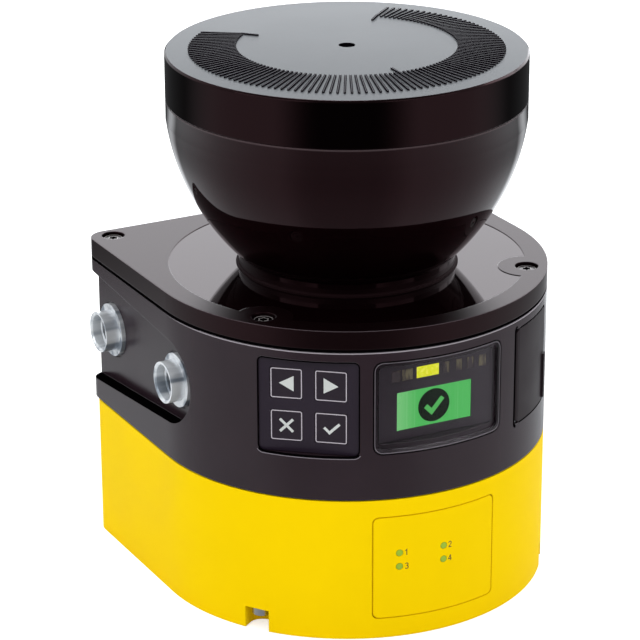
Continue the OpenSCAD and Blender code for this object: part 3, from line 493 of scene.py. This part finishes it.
metalLook = {"metallic": 1.0, "roughness": 0.25, "grain": 0.05, "edge": 0.1}
finishes = {
    "capSatin": capLook,
    "coverPolish": coverLook,
    "litScreen": screenLook,
    "yellowCase": {"colour": (1.0, 0.68, 0.0, 1), "roughness": 0.45, "grainScale": 3500.0, "spread": 0.015,
        "edge": 0.35, "wear": 0.0, "ior": 1.4, "specular": 0.03},
    # the case's pale edges are a painted highlight along its sharp edges
    "housingSatin": {"colour": srgb(42, 30, 36), "roughness": 0.22, "grain": 0.3, "grainScale": 4200.0,
        "grainDepth": 0.03, "spread": 0.08, "edge": 0.35, "wear": 0.12, "ior": 1.38},
    "keypadPlastic": {"colour": srgb(40, 30, 43), "roughness": 0.4, "grain": 0.15, "grainScale": 4200.0,
        "wear": 0.0, "ior": 1.4},
    "keyRubber": {"colour": srgb(40, 30, 41), "roughness": 0.42, "grain": 0.15, "grainScale": 4200.0,
        "edge": 0.1, "wear": 0.0, "ior": 1.4},
    "flapPlastic": {"colour": srgb(34, 22, 27), "roughness": 0.45, "grain": 0.25, "grainScale": 4200.0,
        "edge": 0.3, "wear": 0.0, "ior": 1.35},
    "maskPrint": {"colour": srgb(52, 43, 50), "roughness": 0.5, "grain": 0.05, "edge": 0.1},
    "blackPlastic": {"colour": srgb(22, 22, 23), "roughness": 0.5, "grain": 0.2, "edge": 0.2},
    "sealRubber": {"colour": srgb(18, 18, 19), "roughness": 0.7, "grain": 0.3, "edge": 0.15},
    "circuitBoard": {"colour": (0.02, 0.13, 0.06, 1), "roughness": 0.35, "edge": 0.1, "coat": 0.4},
    "plugScrewSteel": {"colour": srgb(180, 180, 182), "roughness": 0.3, "metallic": 1.0, "edge": 0.15},
    "mechanismMetal": {"colour": srgb(170, 172, 175), "roughness": 0.35, "metallic": 1.0, "edge": 0.15},
    "turnedSocket": {"colour": srgb(246, 249, 252), "roughness": 0.25, "metallic": 0.42, "grain": 0.12,
        "grainScale": 2500.0, "edge": 0.2, "spread": 0.05},
    "contactGold": {**metalLook, "colour": (0.95, 0.68, 0.25, 1), "grain": 0.0, "edge": 0.05},
    "pinSteel": {**metalLook, "colour": srgb(170, 172, 174)},
    "portMetal": {**metalLook, "colour": srgb(190, 192, 194), "roughness": 0.3},
    "coverScrew": {"colour": srgb(46, 44, 46), "roughness": 0.25, "metallic": 1.0, "edge": 0.15},
    "backScrew": {"colour": srgb(84, 80, 80), "roughness": 0.25, "metallic": 1.0, "edge": 0.15},
    "rotorPlastic": {"colour": srgb(40, 40, 42), "roughness": 0.45, "grain": 0.2, "edge": 0.2},
    "mirrorFace": {**metalLook, "colour": srgb(235, 238, 240), "grain": 0.0, "roughness": 0.03, "edge": 0.05},
    "laserBrass": {**metalLook, "colour": (0.78, 0.55, 0.24, 1)},
    "lampGreen": {"colour": srgb(150, 182, 34), "roughness": 0.35, "grain": 0.05, "edge": 0.15, "coat": 0.1,
        "glow": srgb(150, 190, 30), "glowStrength": 0.12},
    "litLens": {"colour": srgb(90, 90, 10), "roughness": 0.3, "grain": 0.0, "edge": 0.1,
        "glow": srgb(226, 236, 0)},
    # painted light: the unlit lamps glow faintly
    "dimLens": {"colour": srgb(70, 64, 50), "roughness": 0.4, "grain": 0.05, "edge": 0.1,
        "glow": srgb(88, 80, 58), "glowStrength": 0.1},
    "printPale": {"colour": srgb(205, 208, 205), "roughness": 0.45, "edge": 0.02, "spread": 0.03},
    "printOutline": {"colour": srgb(186, 178, 186), "roughness": 0.45, "edge": 0.02, "spread": 0.03},
    "printBrown": {"colour": srgb(108, 76, 10), "roughness": 0.5, "edge": 0.02},
    # painted highlight: pale metal lines on the cover screws' heads
    "screwRim": {"colour": srgb(176, 170, 168), "roughness": 0.3, "metallic": 0.45, "grain": 0.0,
        "edge": 0.02},
    # painted shade: a dull black without reflection, laid in gaps and seams where shade falls
    "gasketBlack": {"colour": srgb(4, 3, 4), "roughness": 0.9, "edge": 0.02, "specular": 0.0, "ior": 1.05},
    "bezelGlint": {"colour": srgb(128, 120, 128), "roughness": 0.3, "grain": 0.05, "edge": 0.02},
    "iconDark": {"colour": srgb(2, 10, 2), "roughness": 0.6, "grain": 0.0, "edge": 0.02, "specular": 0.0,
        "glow": srgb(2, 26, 2), "glowStrength": 0.6},
    "iconGreen": {"colour": srgb(40, 110, 40), "roughness": 0.4, "grain": 0.0, "edge": 0.02,
        "glow": srgb(80, 195, 90), "glowStrength": 0.8},
}
extras = {
    "capSatin": capFinish, "coverPolish": coverFinish, "housingSatin": housingFinish,
    "litScreen": screenFinish, "turnedSocket": socketFinish, "litLens": litFinish, "dimLens": dimFinish
}
# clear plastic and glass: two colours and two roughnesses between which they drift
clearLooks = {
    "smokedWindow": {"colours": ((0.84, 0.79, 0.83, 1), (0.88, 0.83, 0.87, 1)), "roughness": (0.01, 0.03),
        "grainScale": 1500.0, "ior": 1.25, "edge": 0.3},
    "lensGlass": {"colours": ((0.9, 0.95, 0.98, 1), (0.94, 0.97, 1, 1)), "roughness": (0.02, 0.02),
        "grainScale": 800.0, "ior": 1.5, "edge": 0.0},
}


def clearFinish(name, look):
    # clear plastic or glass that shows what lies behind it, such as the screen and the lights
    material, tree, shader = startMaterial(name)
    grain = useGroup(tree, mouldGrain, Scale=look["grainScale"])
    feed(tree, shader.inputs["Base Color"], mixColour(tree, grain["Blotch"], *look["colours"]))
    feed(tree, shader.inputs["Roughness"], ramp(tree, grain["Blotch"], 0.0, 1.0, *look["roughness"]))
    if look["edge"]:
        feed(tree, shader.inputs["Normal"], useGroup(tree, edgeRound, Radius=look["edge"] * mm)["Normal"])
    shader.inputs["Transmission Weight"].default_value = 1.0
    shader.inputs["IOR"].default_value = look["ior"]
    return material


screwPlaces = ("left", "right", "back_left", "back_right")
nodeFinishes = {
    "capSatin": ("top_cap",),
    "coverPolish": ("optics_cover",),
    "housingSatin": ("main_housing",),
    "yellowCase": ("plug_housing", "indicator_panel"),
    "keypadPlastic": ("keypad_frame",),
    "keyRubber": ("key_back", "key_next", "key_cancel", "key_confirm"),
    "flapPlastic": ("port_flap",),
    "maskPrint": ("display_mask",),
    "litScreen": ("display_screen",),
    "smokedWindow": ("display_window",),
    "litLens": ("status_light",),
    "dimLens": ("status_lights_off",),
    "blackPlastic": ("plug_connector", "board_connector", "insert_front", "insert_rear"),
    "sealRubber": ("plug_seal", "flange_seal"),
    "circuitBoard": ("plug_board", "main_board", "keypad_board", "display_board"),
    "plugScrewSteel": tuple("plug_screw_" + place for place in screwPlaces),
    "mechanismMetal": ("chassis", "motor", "motor_bearing", "receiver_barrel"),
    "turnedSocket": ("socket_front", "socket_rear"),
    "contactGold": ("contacts_front", "contacts_rear"),
    "pinSteel": ("flap_pin",),
    "portMetal": ("service_port",),
    "coverScrew": ("cover_screw_left",),
    "backScrew": ("cover_screw_back_left", "cover_screw_back_right", "cover_screw_right"),
    "rotorPlastic": ("rotor",),
    "mirrorFace": ("scan_mirror",),
    "laserBrass": ("laser_tube",),
    "lensGlass": ("receiver_lens",),
    "lampGreen": ("indicator_lamps",),
}

made = {name: finish(name, look, extras.get(name)) for name, look in finishes.items()}
made.update({name: clearFinish(name, look) for name, look in clearLooks.items()})
for name, members in nodeFinishes.items():
    for member in members:
        nodes[member].data.materials.clear()
        nodes[member].data.materials.append(made[name])
print("finishes made and put on the nodes")


def vertexPlaces(node):
    # all vertices of a node, one a row, in metres
    vertices = nodes[node].data.vertices
    flat = np.empty(len(vertices) * 3, np.float32)
    vertices.foreach_get("co", flat)
    return flat.reshape(-1, 3).astype(float)


def triangles(node):
    # corners, unit normals and doubled areas of a node's triangles
    mesh = nodes[node].data
    mesh.calc_loop_triangles()
    order = np.empty(len(mesh.loop_triangles) * 3, np.int32)
    mesh.loop_triangles.foreach_get("vertices", order)
    corners = vertexPlaces(node)[order.reshape(-1, 3)]
    normals = np.cross(corners[:, 1] - corners[:, 0], corners[:, 2] - corners[:, 0])
    areas = np.linalg.norm(normals, axis=1) + 1e-15
    return corners, normals / areas[:, None], areas


def addPiece(name, points, faces, material, body):
    mesh = bpy.data.meshes.new(name)
    mesh.from_pydata(points.reshape(-1, 3).tolist(), [], faces.tolist())
    mesh.validate()
    mesh.update()
    mesh.materials.append(made[material])
    piece = bpy.data.objects.new(name, mesh)
    bpy.context.scene.collection.objects.link(piece)
    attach(piece, body)


def gridFaces(down, right, rows, columns):
    # the quads of a grid: each point with its right, lower right and lower neighbour
    i, j = np.meshgrid(down, right, indexing="ij")
    nextRow, nextColumn = (i + 1) % rows, (j + 1) % columns
    quads = [i * columns + j, i * columns + nextColumn, nextRow * columns + nextColumn, nextRow * columns + j]
    return np.stack(quads, -1).reshape(-1, 4)


def surface(name, points, material, body, closedAcross=False, closedAlong=False):
    # points is a grid (rows, columns, 3) in metres, joined by quads whose front follows rows x columns
    rows, columns = points.shape[:2]
    down = np.arange(rows if closedAlong else rows - 1)
    right = np.arange(columns if closedAcross else columns - 1)
    addPiece(name, points, gridFaces(down, right, rows, columns), material, body)


def circle(steps):
    # unit circle, as points at equal angles
    turn = np.radians(np.linspace(0, 360, steps, endpoint=False))
    return np.stack([np.cos(turn), np.sin(turn)], 1)


# cosines above which a triangle counts as facing along a direction, and how deep the outermost face may lie
faceSettings = {"same": 0.995, "near": 0.95, "depth": 0.05}


def faceFrame(node, outward):
    # centre and axes of the outermost flat face of a node that looks along outward
    corners, normals, areas = triangles(node)
    out = np.array(outward, float) / np.linalg.norm(outward)
    same = normals @ out > faceSettings["same"]
    depth = corners.mean(1) @ out
    points = corners[same & (depth > depth[same].max() - faceSettings["depth"] * mm)].reshape(-1, 3)
    up = np.array((0.0, 0.0, 1.0))
    right = np.cross(up, out)
    right /= np.linalg.norm(right)
    spanX, spanZ = points @ right, points @ up
    centre = (right * (spanX.min() + spanX.max()) / 2 + up * (spanZ.min() + spanZ.max()) / 2
              + out * (points @ out).max())
    return {"centre": centre, "right": right, "up": up, "out": out}


def outwardOf(node):
    # mean normal, by area, of the node's faces that look away from the scan axis
    low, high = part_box(node)
    away = np.array((low.x + high.x, low.y + high.y, 0.0))
    away /= np.linalg.norm(away)
    corners, normals, areas = triangles(node)
    picked = normals @ away > faceSettings["near"]
    mean = (normals[picked] * areas[picked][:, None]).sum(0) * (1, 1, 0)
    return mean / np.linalg.norm(mean)


def onFace(place, flat, lift):
    # flat points (..., 2) to the face's own plane, lifted off it; with a radius, wrapped round the scan axis
    if "radius" in place:
        reach = place["radius"] + lift
        turn = math.radians(place["turn"]) + flat[..., 0] / place["radius"]
        x, y = np.sin(turn) * reach, -np.cos(turn) * reach
        return np.stack([x, y, flat[..., 1] + place["height"]], -1) * mm
    return (place["centre"] + flat[..., :1] * mm * place["right"] + flat[..., 1:] * mm * place["up"]
            + lift * mm * place["out"])


def ribbonOutline(path, width, closed=False):
    # both edges of a flat ribbon: each corner is moved along the mitre of its two neighbours' normals
    path = np.array(path, float)
    before = np.roll(path, 1, 0) if closed else np.vstack([path[:1] * 2 - path[1:2], path[:-1]])
    after = np.roll(path, -1, 0) if closed else np.vstack([path[1:], path[-1:] * 2 - path[-2:-1]])
    first, second = path - before, after - path
    first /= np.linalg.norm(first, axis=1)[:, None]
    second /= np.linalg.norm(second, axis=1)[:, None]
    normal = np.stack([-(first + second)[:, 1], (first + second)[:, 0]], 1)
    normal /= np.linalg.norm(normal, axis=1)[:, None]
    reach = width / 2 / np.abs(first[:, 0] * normal[:, 1] - first[:, 1] * normal[:, 0])[:, None]
    return path + normal * reach, path - normal * reach


def printRibbon(name, place, path, width, material, body, closed=False, lift=0.03):
    # a printed line: the ribbon's two edges on the face, with a bevelled wall down to it
    leftEdge, rightEdge = ribbonOutline(path, width, closed)
    rows = [onFace(place, rightEdge, 0.0), onFace(place, rightEdge, lift), onFace(place, leftEdge, lift),
            onFace(place, leftEdge, 0.0)]
    surface(name, np.stack(rows), material, body, closedAcross=closed)


def roundedBox(wide, tall, radius, steps=6):
    # corner arcs of a rectangle, counter-clockwise from its right side
    turn = np.radians(np.linspace(0, 90, steps))
    sides = np.array([[1, 1], [-1, 1], [-1, -1], [1, -1]]) * (np.array([wide, tall]) / 2 - radius)
    arcs = [side + np.stack([np.cos(turn + q), np.sin(turn + q)], 1) * radius
            for side, q in zip(sides, np.radians([0, 90, 180, 270]))]
    return np.concatenate(arcs)


def printPatch(name, place, outline, material, body, lift=0.03, centre=(0.0, 0.0)):
    # a filled shape: rings from its middle out to the outline, then down to the face
    outline = np.array(outline, float)
    middle = np.array(centre, float)
    shares = np.array([1e-4, 0.5, 1.0])[:, None, None]
    rings = onFace(place, middle + (outline - middle) * shares, lift)
    foot = onFace(place, outline, 0.0)[None]
    surface(name, np.concatenate([rings, foot])[::-1], material, body, closedAcross=True)


# a symbol's crossing strokes lie one step apart, so that none shares a plane with the next
keySettings = {
    "side": 8.5, "line": 0.28, "corner": 0.45, "arrow": (4.0, 4.4), "cross": 1.78, "stroke": 0.74,
    "check": [(-1.9, 0.15), (-0.45, -1.3), (2.3, 1.35)], "lift": 0.03, "step": 0.004
}


def addKeyPrint(settings):
    # a rounded square outline and a sign on each key: triangles as arrows, ribbons as cross and tick
    wide, tall = settings["arrow"]
    reach = settings["cross"]
    symbols = {
        "back": [("patch", [(-wide / 2, 0), (wide / 2, -tall / 2), (wide / 2, tall / 2)])],
        "next": [("patch", [(wide / 2, 0), (-wide / 2, tall / 2), (-wide / 2, -tall / 2)])],
        "cancel": [("ribbon", [(-reach, -reach * side), (reach, reach * side)]) for side in (1, -1)],
        "confirm": [("ribbon", settings["check"])],
    }
    inward = next(j for j in frame["joints"] if j["child"] == "key_back_body")["axis"]
    line, side = settings["line"], settings["side"] - settings["line"]
    square = roundedBox(side, side, settings["corner"])
    for key, shapes in symbols.items():
        place = faceFrame("key_" + key, -np.array(inward, float))
        body = "key_" + key + "_body"
        printRibbon(f"key_{key}_outline", place, square, line, "printOutline", body, closed=True)
        for index, (kind, points) in enumerate(shapes):
            name = f"key_{key}_symbol_{index}"
            if kind == "patch":
                printPatch(name, place, points, "printPale", body, centre=np.mean(points, 0))
            else:
                printRibbon(name, place, points, settings["stroke"], "printPale", body,
                            lift=settings["lift"] + settings["step"] * index)


iconSettings = {
    "centre": (-0.05, 0.05), "radius": 4.75, "check": [(-2.5, 0.1), (-0.65, -1.8), (2.65, 1.85)],
    "stroke": 1.35, "steps": 48, "lift": 0.02, "checkLift": 0.05
}


def addScreenIcon(settings):
    # a dark disc on the screen, a circle at equal angles, with a green tick as a ribbon over it
    place = faceFrame("display_screen", outwardOf("display_screen"))
    middle = np.array(settings["centre"])
    disc = middle + settings["radius"] * circle(settings["steps"])
    check = middle + np.array(settings["check"])
    printPatch("screen_icon", place, disc, "iconDark", "housing", lift=settings["lift"],
               centre=middle)
    printRibbon("screen_icon_check", place, check, settings["stroke"], "iconGreen", "housing",
                lift=settings["checkLift"])


# turn in degrees; rows and columns are the lamps' places on the case's front, rolled out
labelSettings = {
    "radius": 56.0, "offset": (1.5, -0.85), "turn": -2.3, "height": 20.9, "columns": (-11.2, 1.7),
    "rows": (4.15, 0.1), "stroke": 0.24, "size": 1.05, "lift": 0.015, "step": 0.003
}
digitPaths = {
    "1": [[(0.05, 1.15), (0.42, 1.6), (0.42, 0.0)]],
    "2": [[(0.04, 1.2), (0.16, 1.47), (0.45, 1.6), (0.74, 1.46), (0.82, 1.15), (0.68, 0.8), (0.06, 0.04)],
          [(0.0, 0.03), (0.9, 0.03)]],
    "3": [[(0.06, 1.36), (0.3, 1.58), (0.62, 1.55), (0.8, 1.3), (0.7, 0.97), (0.36, 0.86)],
          [(0.36, 0.86), (0.76, 0.72), (0.86, 0.38), (0.66, 0.07), (0.3, 0.0), (0.04, 0.22)]],
    "4": [[(0.68, 0.0), (0.68, 1.6)], [(0.62, 1.55), (0.02, 0.5), (1.0, 0.5)]],
}


def addLabels(settings):
    # plain numbers to the right of the four lamps: ribbons along strokes, wrapped round the yellow case
    right, down = settings["offset"]
    spots = [(x + right, z + down) for z in settings["rows"] for x in settings["columns"]]
    place = {key: settings[key] for key in ("radius", "turn", "height")}
    for (digit, strokes), spot in zip(digitPaths.items(), spots):
        for index, stroke in enumerate(strokes):
            path = np.array(stroke) * settings["size"] + np.array(spot)
            printRibbon(f"label_{digit}_{index}", place, path, settings["stroke"], "printBrown", "housing",
                        lift=settings["lift"] + settings["step"] * index)


# grow is how far outside its node's outline a line runs; part names the run that is kept of it. The black
# lines are painted shade in and beside the gaps, the glints painted highlights
seamSettings = {
    "keypad_gap": {"node": "keypad_frame", "grow": 0.12, "corner": 1.6, "width": 0.34},
    "keypad_shadow": {"node": "keypad_frame", "grow": 0.45, "corner": 1.8, "width": 0.5, "part": "bottom"},
    "keypad_glint": {"node": "keypad_frame", "grow": 0.85, "corner": 2.2, "width": 0.22, "part": "bottom",
        "finish": "bezelGlint"},
    "flap_shadow": {"node": "port_flap", "grow": 0.85, "corner": 1.0, "width": 0.8, "part": "left"},
    "window_gap": {"node": "display_window", "grow": 0.1, "corner": 2.6, "width": 0.3},
    "window_glint": {"node": "display_window", "grow": -0.3, "corner": 2.3, "width": 0.13,
        "finish": "bezelGlint", "slot": "display_window"},
    "flap_gap": {"node": "port_flap", "grow": 0.25, "corner": 1.4, "width": 0.42, "part": "right"},
}
seamPlain = {"finish": "gasketBlack", "slot": "dark_case", "part": "whole"}
# hingeRoom keeps the run round the flap clear of its hinge side, where the flap swings
seamRules = {"radius": 56.0, "skin": 0.6, "hingeRoom": 2.0, "wholeLift": 0.012, "runLift": 0.008, "step": 0.8}


def unwrapped(node):
    # middle angle, middle height and sizes of a node's outer face, rolled out from the case's cylinder
    radius = seamRules["radius"]
    points = vertexPlaces(node) / mm
    points = points[np.hypot(points[:, 0], points[:, 1]) > radius - seamRules["skin"]]
    turn = np.degrees(np.arctan2(points[:, 0], -points[:, 1]))
    bottom, top = points[:, 2].min(), points[:, 2].max()
    place = {"radius": radius, "turn": (turn.min() + turn.max()) / 2, "height": (bottom + top) / 2}
    return place, math.radians(turn.max() - turn.min()) * radius, top - bottom


def fineClosed(outline, step):
    # the same closed outline with extra points, so that long straight runs can bend round the case
    following = np.roll(outline, -1, 0)
    counts = np.maximum(1, np.ceil(np.linalg.norm(following - outline, axis=1) / step).astype(int))
    return np.concatenate([a + (b - a) * np.linspace(0, 1, n, endpoint=False)[:, None]
                           for a, b, n in zip(outline, following, counts)])


def addSeams(settings):
    # thin lines round the pieces set into the curved case, a rounded rectangle or one run of it as a ribbon:
    # black ones are painted shade in the gaps, pale ones painted highlights
    for name, ownLook in settings.items():
        look = {**seamPlain, **ownLook}
        place, wide, tall = unwrapped(look["node"])
        outline = roundedBox(wide + 2 * look["grow"], tall + 2 * look["grow"], look["corner"])
        outline = fineClosed(outline, seamRules["step"])
        whole = look["part"] == "whole"
        if not whole:
            # only the run along one side, with the starts of its corners; right also takes top and bottom
            runs = {"bottom": (outline[:, 1], tall / 2), "left": (outline[:, 0], wide / 2),
                    "right": (-outline[:, 0], seamRules["hingeRoom"] - wide / 2)}
            across, limit = runs[look["part"]]
            first = int(np.argmax((across > -limit) & (np.roll(across, -1) <= -limit)))
            outline = np.roll(outline, -first, 0)[:int(np.sum(across <= -limit)) + 2]
        printRibbon(name, place, outline, look["width"], look["finish"], "housing",
                    closed=whole, lift=seamRules["wholeLift" if whole else "runLift"])


ledgeSettings = {"floorFrom": 52.4, "below": 84.0, "slope": 0.3, "lift": 0.02}


def addLedge(settings):
    # painted shadow on the recess ledge: the housing's own triangles that face up below the sockets, copied
    # in dull black and lifted a little
    corners, normals, areas = triangles("main_housing")
    middle = corners.mean(1)
    picked = ((normals[:, 2] > settings["slope"]) & (middle[:, 0] < -settings["floorFrom"] * mm)
              & (middle[:, 2] < settings["below"] * mm))
    lifted = corners[picked] + normals[picked][:, None] * settings["lift"] * mm
    faces = np.arange(lifted.shape[0] * 3).reshape(-1, 3)
    addPiece("recess_channel", lifted, faces, "gasketBlack", "housing")
    print("ledge triangles", len(lifted))


# bottom and top are heights above the case's top edge, which is found within rimDepth of its highest point
bandSettings = {"bottom": 0.25, "top": 1.0, "inset": 0.02, "thick": 0.3, "directions": 1440, "rimDepth": 0.1}


def addRimBand(settings):
    # painted shadow: a dull black band that fills the seam under the flange and darkens it; it follows the
    # outermost corners of the case's top edge, in order of direction, moved in a little and swept up as a
    # closed ring
    points = vertexPlaces("main_housing")
    top = points[:, 2].max()
    rim = points[points[:, 2] > top - settings["rimDepth"] * mm][:, :2]
    furthest = np.argmax(rim @ circle(settings["directions"]).T, axis=0)
    outline = rim[furthest[furthest != np.roll(furthest, 1)]]
    outer = ribbonOutline(outline, 2 * settings["inset"] * mm, closed=True)[0]
    inner = ribbonOutline(outline, 2 * settings["thick"] * mm, closed=True)[0]
    low, high = top + settings["bottom"] * mm, top + settings["top"] * mm
    rows = [(inner, low), (outer, low), (outer, high), (inner, high)]
    grid = np.stack([np.column_stack([row, np.full(len(row), height)]) for row, height in rows])
    surface("rim_band", grid, "gasketBlack", "housing", closedAcross=True, closedAlong=True)
    print("rim band corners", len(outline))


screwSettings = {"rim": 2.5, "star": 1.25, "wave": 0.2, "points": 6, "line": 0.18, "steps": 48, "lift": 0.05}


def addScrewRims(settings):
    # painted highlights: a bright ring round each cover screw's head, and the bright edge of its star recess;
    # the star is a circle whose radius swells and shrinks once for each point
    ring = circle(settings["steps"])
    turn = np.arctan2(ring[:, 1], ring[:, 0])
    star = ring * (settings["star"] + settings["wave"] * np.cos(settings["points"] * turn))[:, None]
    right, up, out = np.identity(3)
    for name in screwPlaces:
        node = "cover_screw_" + name
        low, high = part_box(node)
        centre = np.array(((low.x + high.x) / 2, (low.y + high.y) / 2, high.z))
        place = {"centre": centre, "right": right, "up": up, "out": out}
        for part, path in (("rim", ring * settings["rim"]), ("star", star)):
            printRibbon(f"{node}_{part}", place, path, settings["line"], "screwRim", "housing",
                        closed=True, lift=settings["lift"])


ringSettings = {
    "steps": 64,
    "profile": [(4.93, 2.9), (4.6, 3.15), (4.45, 3.2), (4.45, 3.45), (4.6, 3.5), (4.75, 3.62), (4.6, 3.74),
                (4.75, 3.86), (4.6, 3.98), (4.75, 4.1), (4.6, 4.22), (4.93, 4.4)]
}


def addSocketRing(name, settings):
    # inner lip and thread of a socket: a profile of (radius, depth under the mouth) turned round its axis
    low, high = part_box(name)
    centre = (low + high) / 2
    radius, depth = (np.array(settings["profile"]) * mm).T[:, :, None]
    cosine, sine = circle(settings["steps"]).T
    points = np.stack([low.x + depth + 0 * cosine, centre.y + radius * cosine, centre.z + radius * sine], -1)
    surface(name + "_thread", points, "turnedSocket", "housing", closedAcross=True)


addCamera(cameraSettings)
for name, lamp in lampSettings.items():
    addLamp(name, lamp)
addKeyPrint(keySettings)
addScreenIcon(iconSettings)
addLabels(labelSettings)
print("printed marks added")
for name in ("socket_front", "socket_rear"):
    addSocketRing(name, ringSettings)
addSeams(seamSettings)
addRimBand(bandSettings)
addScrewRims(screwSettings)
addLedge(ledgeSettings)
print("socket threads, seams and screw rims added")


# fill is the world's light on the object; the backdrop stands on the far side, and the near side is dim
# shares are cosines towards the backdrop, levels are two distances in metres and the brightness at each
stageSettings = {
    "size": 4.0, "rows": 9, "below": 0.0001, "floorAlbedo": 0.8, "drift": 1.02, "driftScale": 3.0,
    "floorGlow": 0.6, "fill": 0.63, "backdropTowards": (0.48, 0.88, 0.0), "nearSide": 0.2,
    "backdropRamp": (-0.35, 0.6), "sideLevel": 0.7, "frontShare": (-0.7, -0.97),
    "frontLevel": (0.14, 0.3, 0.42, 0.05), "behindShare": (-0.1, 0.5), "behindLevel": (0.18, 0.36, 0.8, 0.06),
    "grazeShare": (0.72, 0.92), "grazeLevel": (0.25, 0.44, 1.6, 0.0)
}


def addStage(settings):
    # a flat sheet just below the object: an even grid of rows by rows
    half, rows = settings["size"], settings["rows"]
    side = np.linspace(-half, half, rows)
    grid = np.stack(np.meshgrid(side, side, indexing="xy"), -1)
    points = np.concatenate([grid, np.full(grid.shape[:2] + (1,), -settings["below"])], -1)
    faces = gridFaces(np.arange(rows - 1), np.arange(rows - 1), rows, rows)
    mesh = bpy.data.meshes.new("floor")
    mesh.from_pydata(points.reshape(-1, 3).tolist(), [], faces.tolist())
    floor = bpy.data.objects.new("floor", mesh)
    bpy.context.scene.collection.objects.link(floor)

    material, tree, shader = startMaterial("paleFloor")
    mesh.materials.append(material)
    tree.nodes.remove(shader)
    place = objectPlace(tree)
    pale = settings["floorAlbedo"]
    paler = pale * settings["drift"]
    drift = noise(tree, place, settings["driftScale"])
    colour = mixColour(tree, drift, (pale, pale, pale, 1), (paler, paler, paler, 1))
    diffuse = addNode(tree, "ShaderNodeBsdfDiffuse", Color=colour).outputs[0]
    path = addNode(tree, "ShaderNodeLightPath").outputs
    seen = larger(tree, path["Is Camera Ray"], path["Is Transmission Ray"])
    glow = addNode(tree, "ShaderNodeEmission", Strength=times(tree, seen, settings["floorGlow"])).outputs[0]
    lit = addNode(tree, "ShaderNodeAddShader", i0=diffuse, i1=glow).outputs[0]
    # a mirror sees the sheet pale at the object's sides, and fading outwards in front of it and behind it
    reach = vectorMaths(tree, "LENGTH", place)
    along = vectorMaths(tree, "DOT_PRODUCT", place, settings["backdropTowards"])
    cosine = maths(tree, "DIVIDE", along, reach)
    front = ramp(tree, cosine, *settings["frontShare"])
    behind = ramp(tree, cosine, *settings["behindShare"])
    side = minus(tree, minus(tree, 1.0, front), behind)
    ends = plus(tree, times(tree, front, ramp(tree, reach, *settings["frontLevel"])),
                times(tree, behind, ramp(tree, reach, *settings["behindLevel"])))
    sheet = plus(tree, times(tree, side, settings["sideLevel"]), ends)
    # straight behind the object it stays bright, which gives the case its pale outer edges
    graze = times(tree, ramp(tree, cosine, *settings["grazeShare"]),
                  ramp(tree, reach, *settings["grazeLevel"]))
    level = larger(tree, sheet, graze)
    mirrored = addNode(tree, "ShaderNodeEmission", Color=(*coolWhite, 1), Strength=level).outputs[0]
    both = addNode(tree, "ShaderNodeMixShader", i0=path["Is Glossy Ray"], i1=lit, i2=mirrored).outputs[0]
    feed(tree, tree.nodes["Material Output"].inputs["Surface"], both)


def setWorld(settings):
    # white for the camera and through glass, the backdrop for reflections, an even fill for all else
    world = bpy.data.worlds.new("studio")
    world.use_nodes = True
    bpy.context.scene.world = world
    tree = world.node_tree
    path = addNode(tree, "ShaderNodeLightPath").outputs
    seen = larger(tree, path["Is Camera Ray"], path["Is Transmission Ray"])
    towards = addNode(tree, "ShaderNodeTexCoord").outputs["Generated"]
    along = vectorMaths(tree, "DOT_PRODUCT", towards, settings["backdropTowards"])
    backdrop = ramp(tree, along, *settings["backdropRamp"], settings["nearSide"], 1.0)
    white = larger(tree, seen, times(tree, path["Is Glossy Ray"], backdrop))
    falling = minus(tree, 1.0, larger(tree, seen, path["Is Glossy Ray"]))
    background = tree.nodes["Background"].inputs
    feed(tree, background["Color"], mixColour(tree, path["Is Glossy Ray"], (1, 1, 1, 1), (*coolWhite, 1)))
    feed(tree, background["Strength"], plus(tree, white, times(tree, falling, settings["fill"])))


addStage(stageSettings)
setWorld(stageSettings)
bpy.context.scene.view_settings.view_transform = "Standard"
print("stage and lamps set")
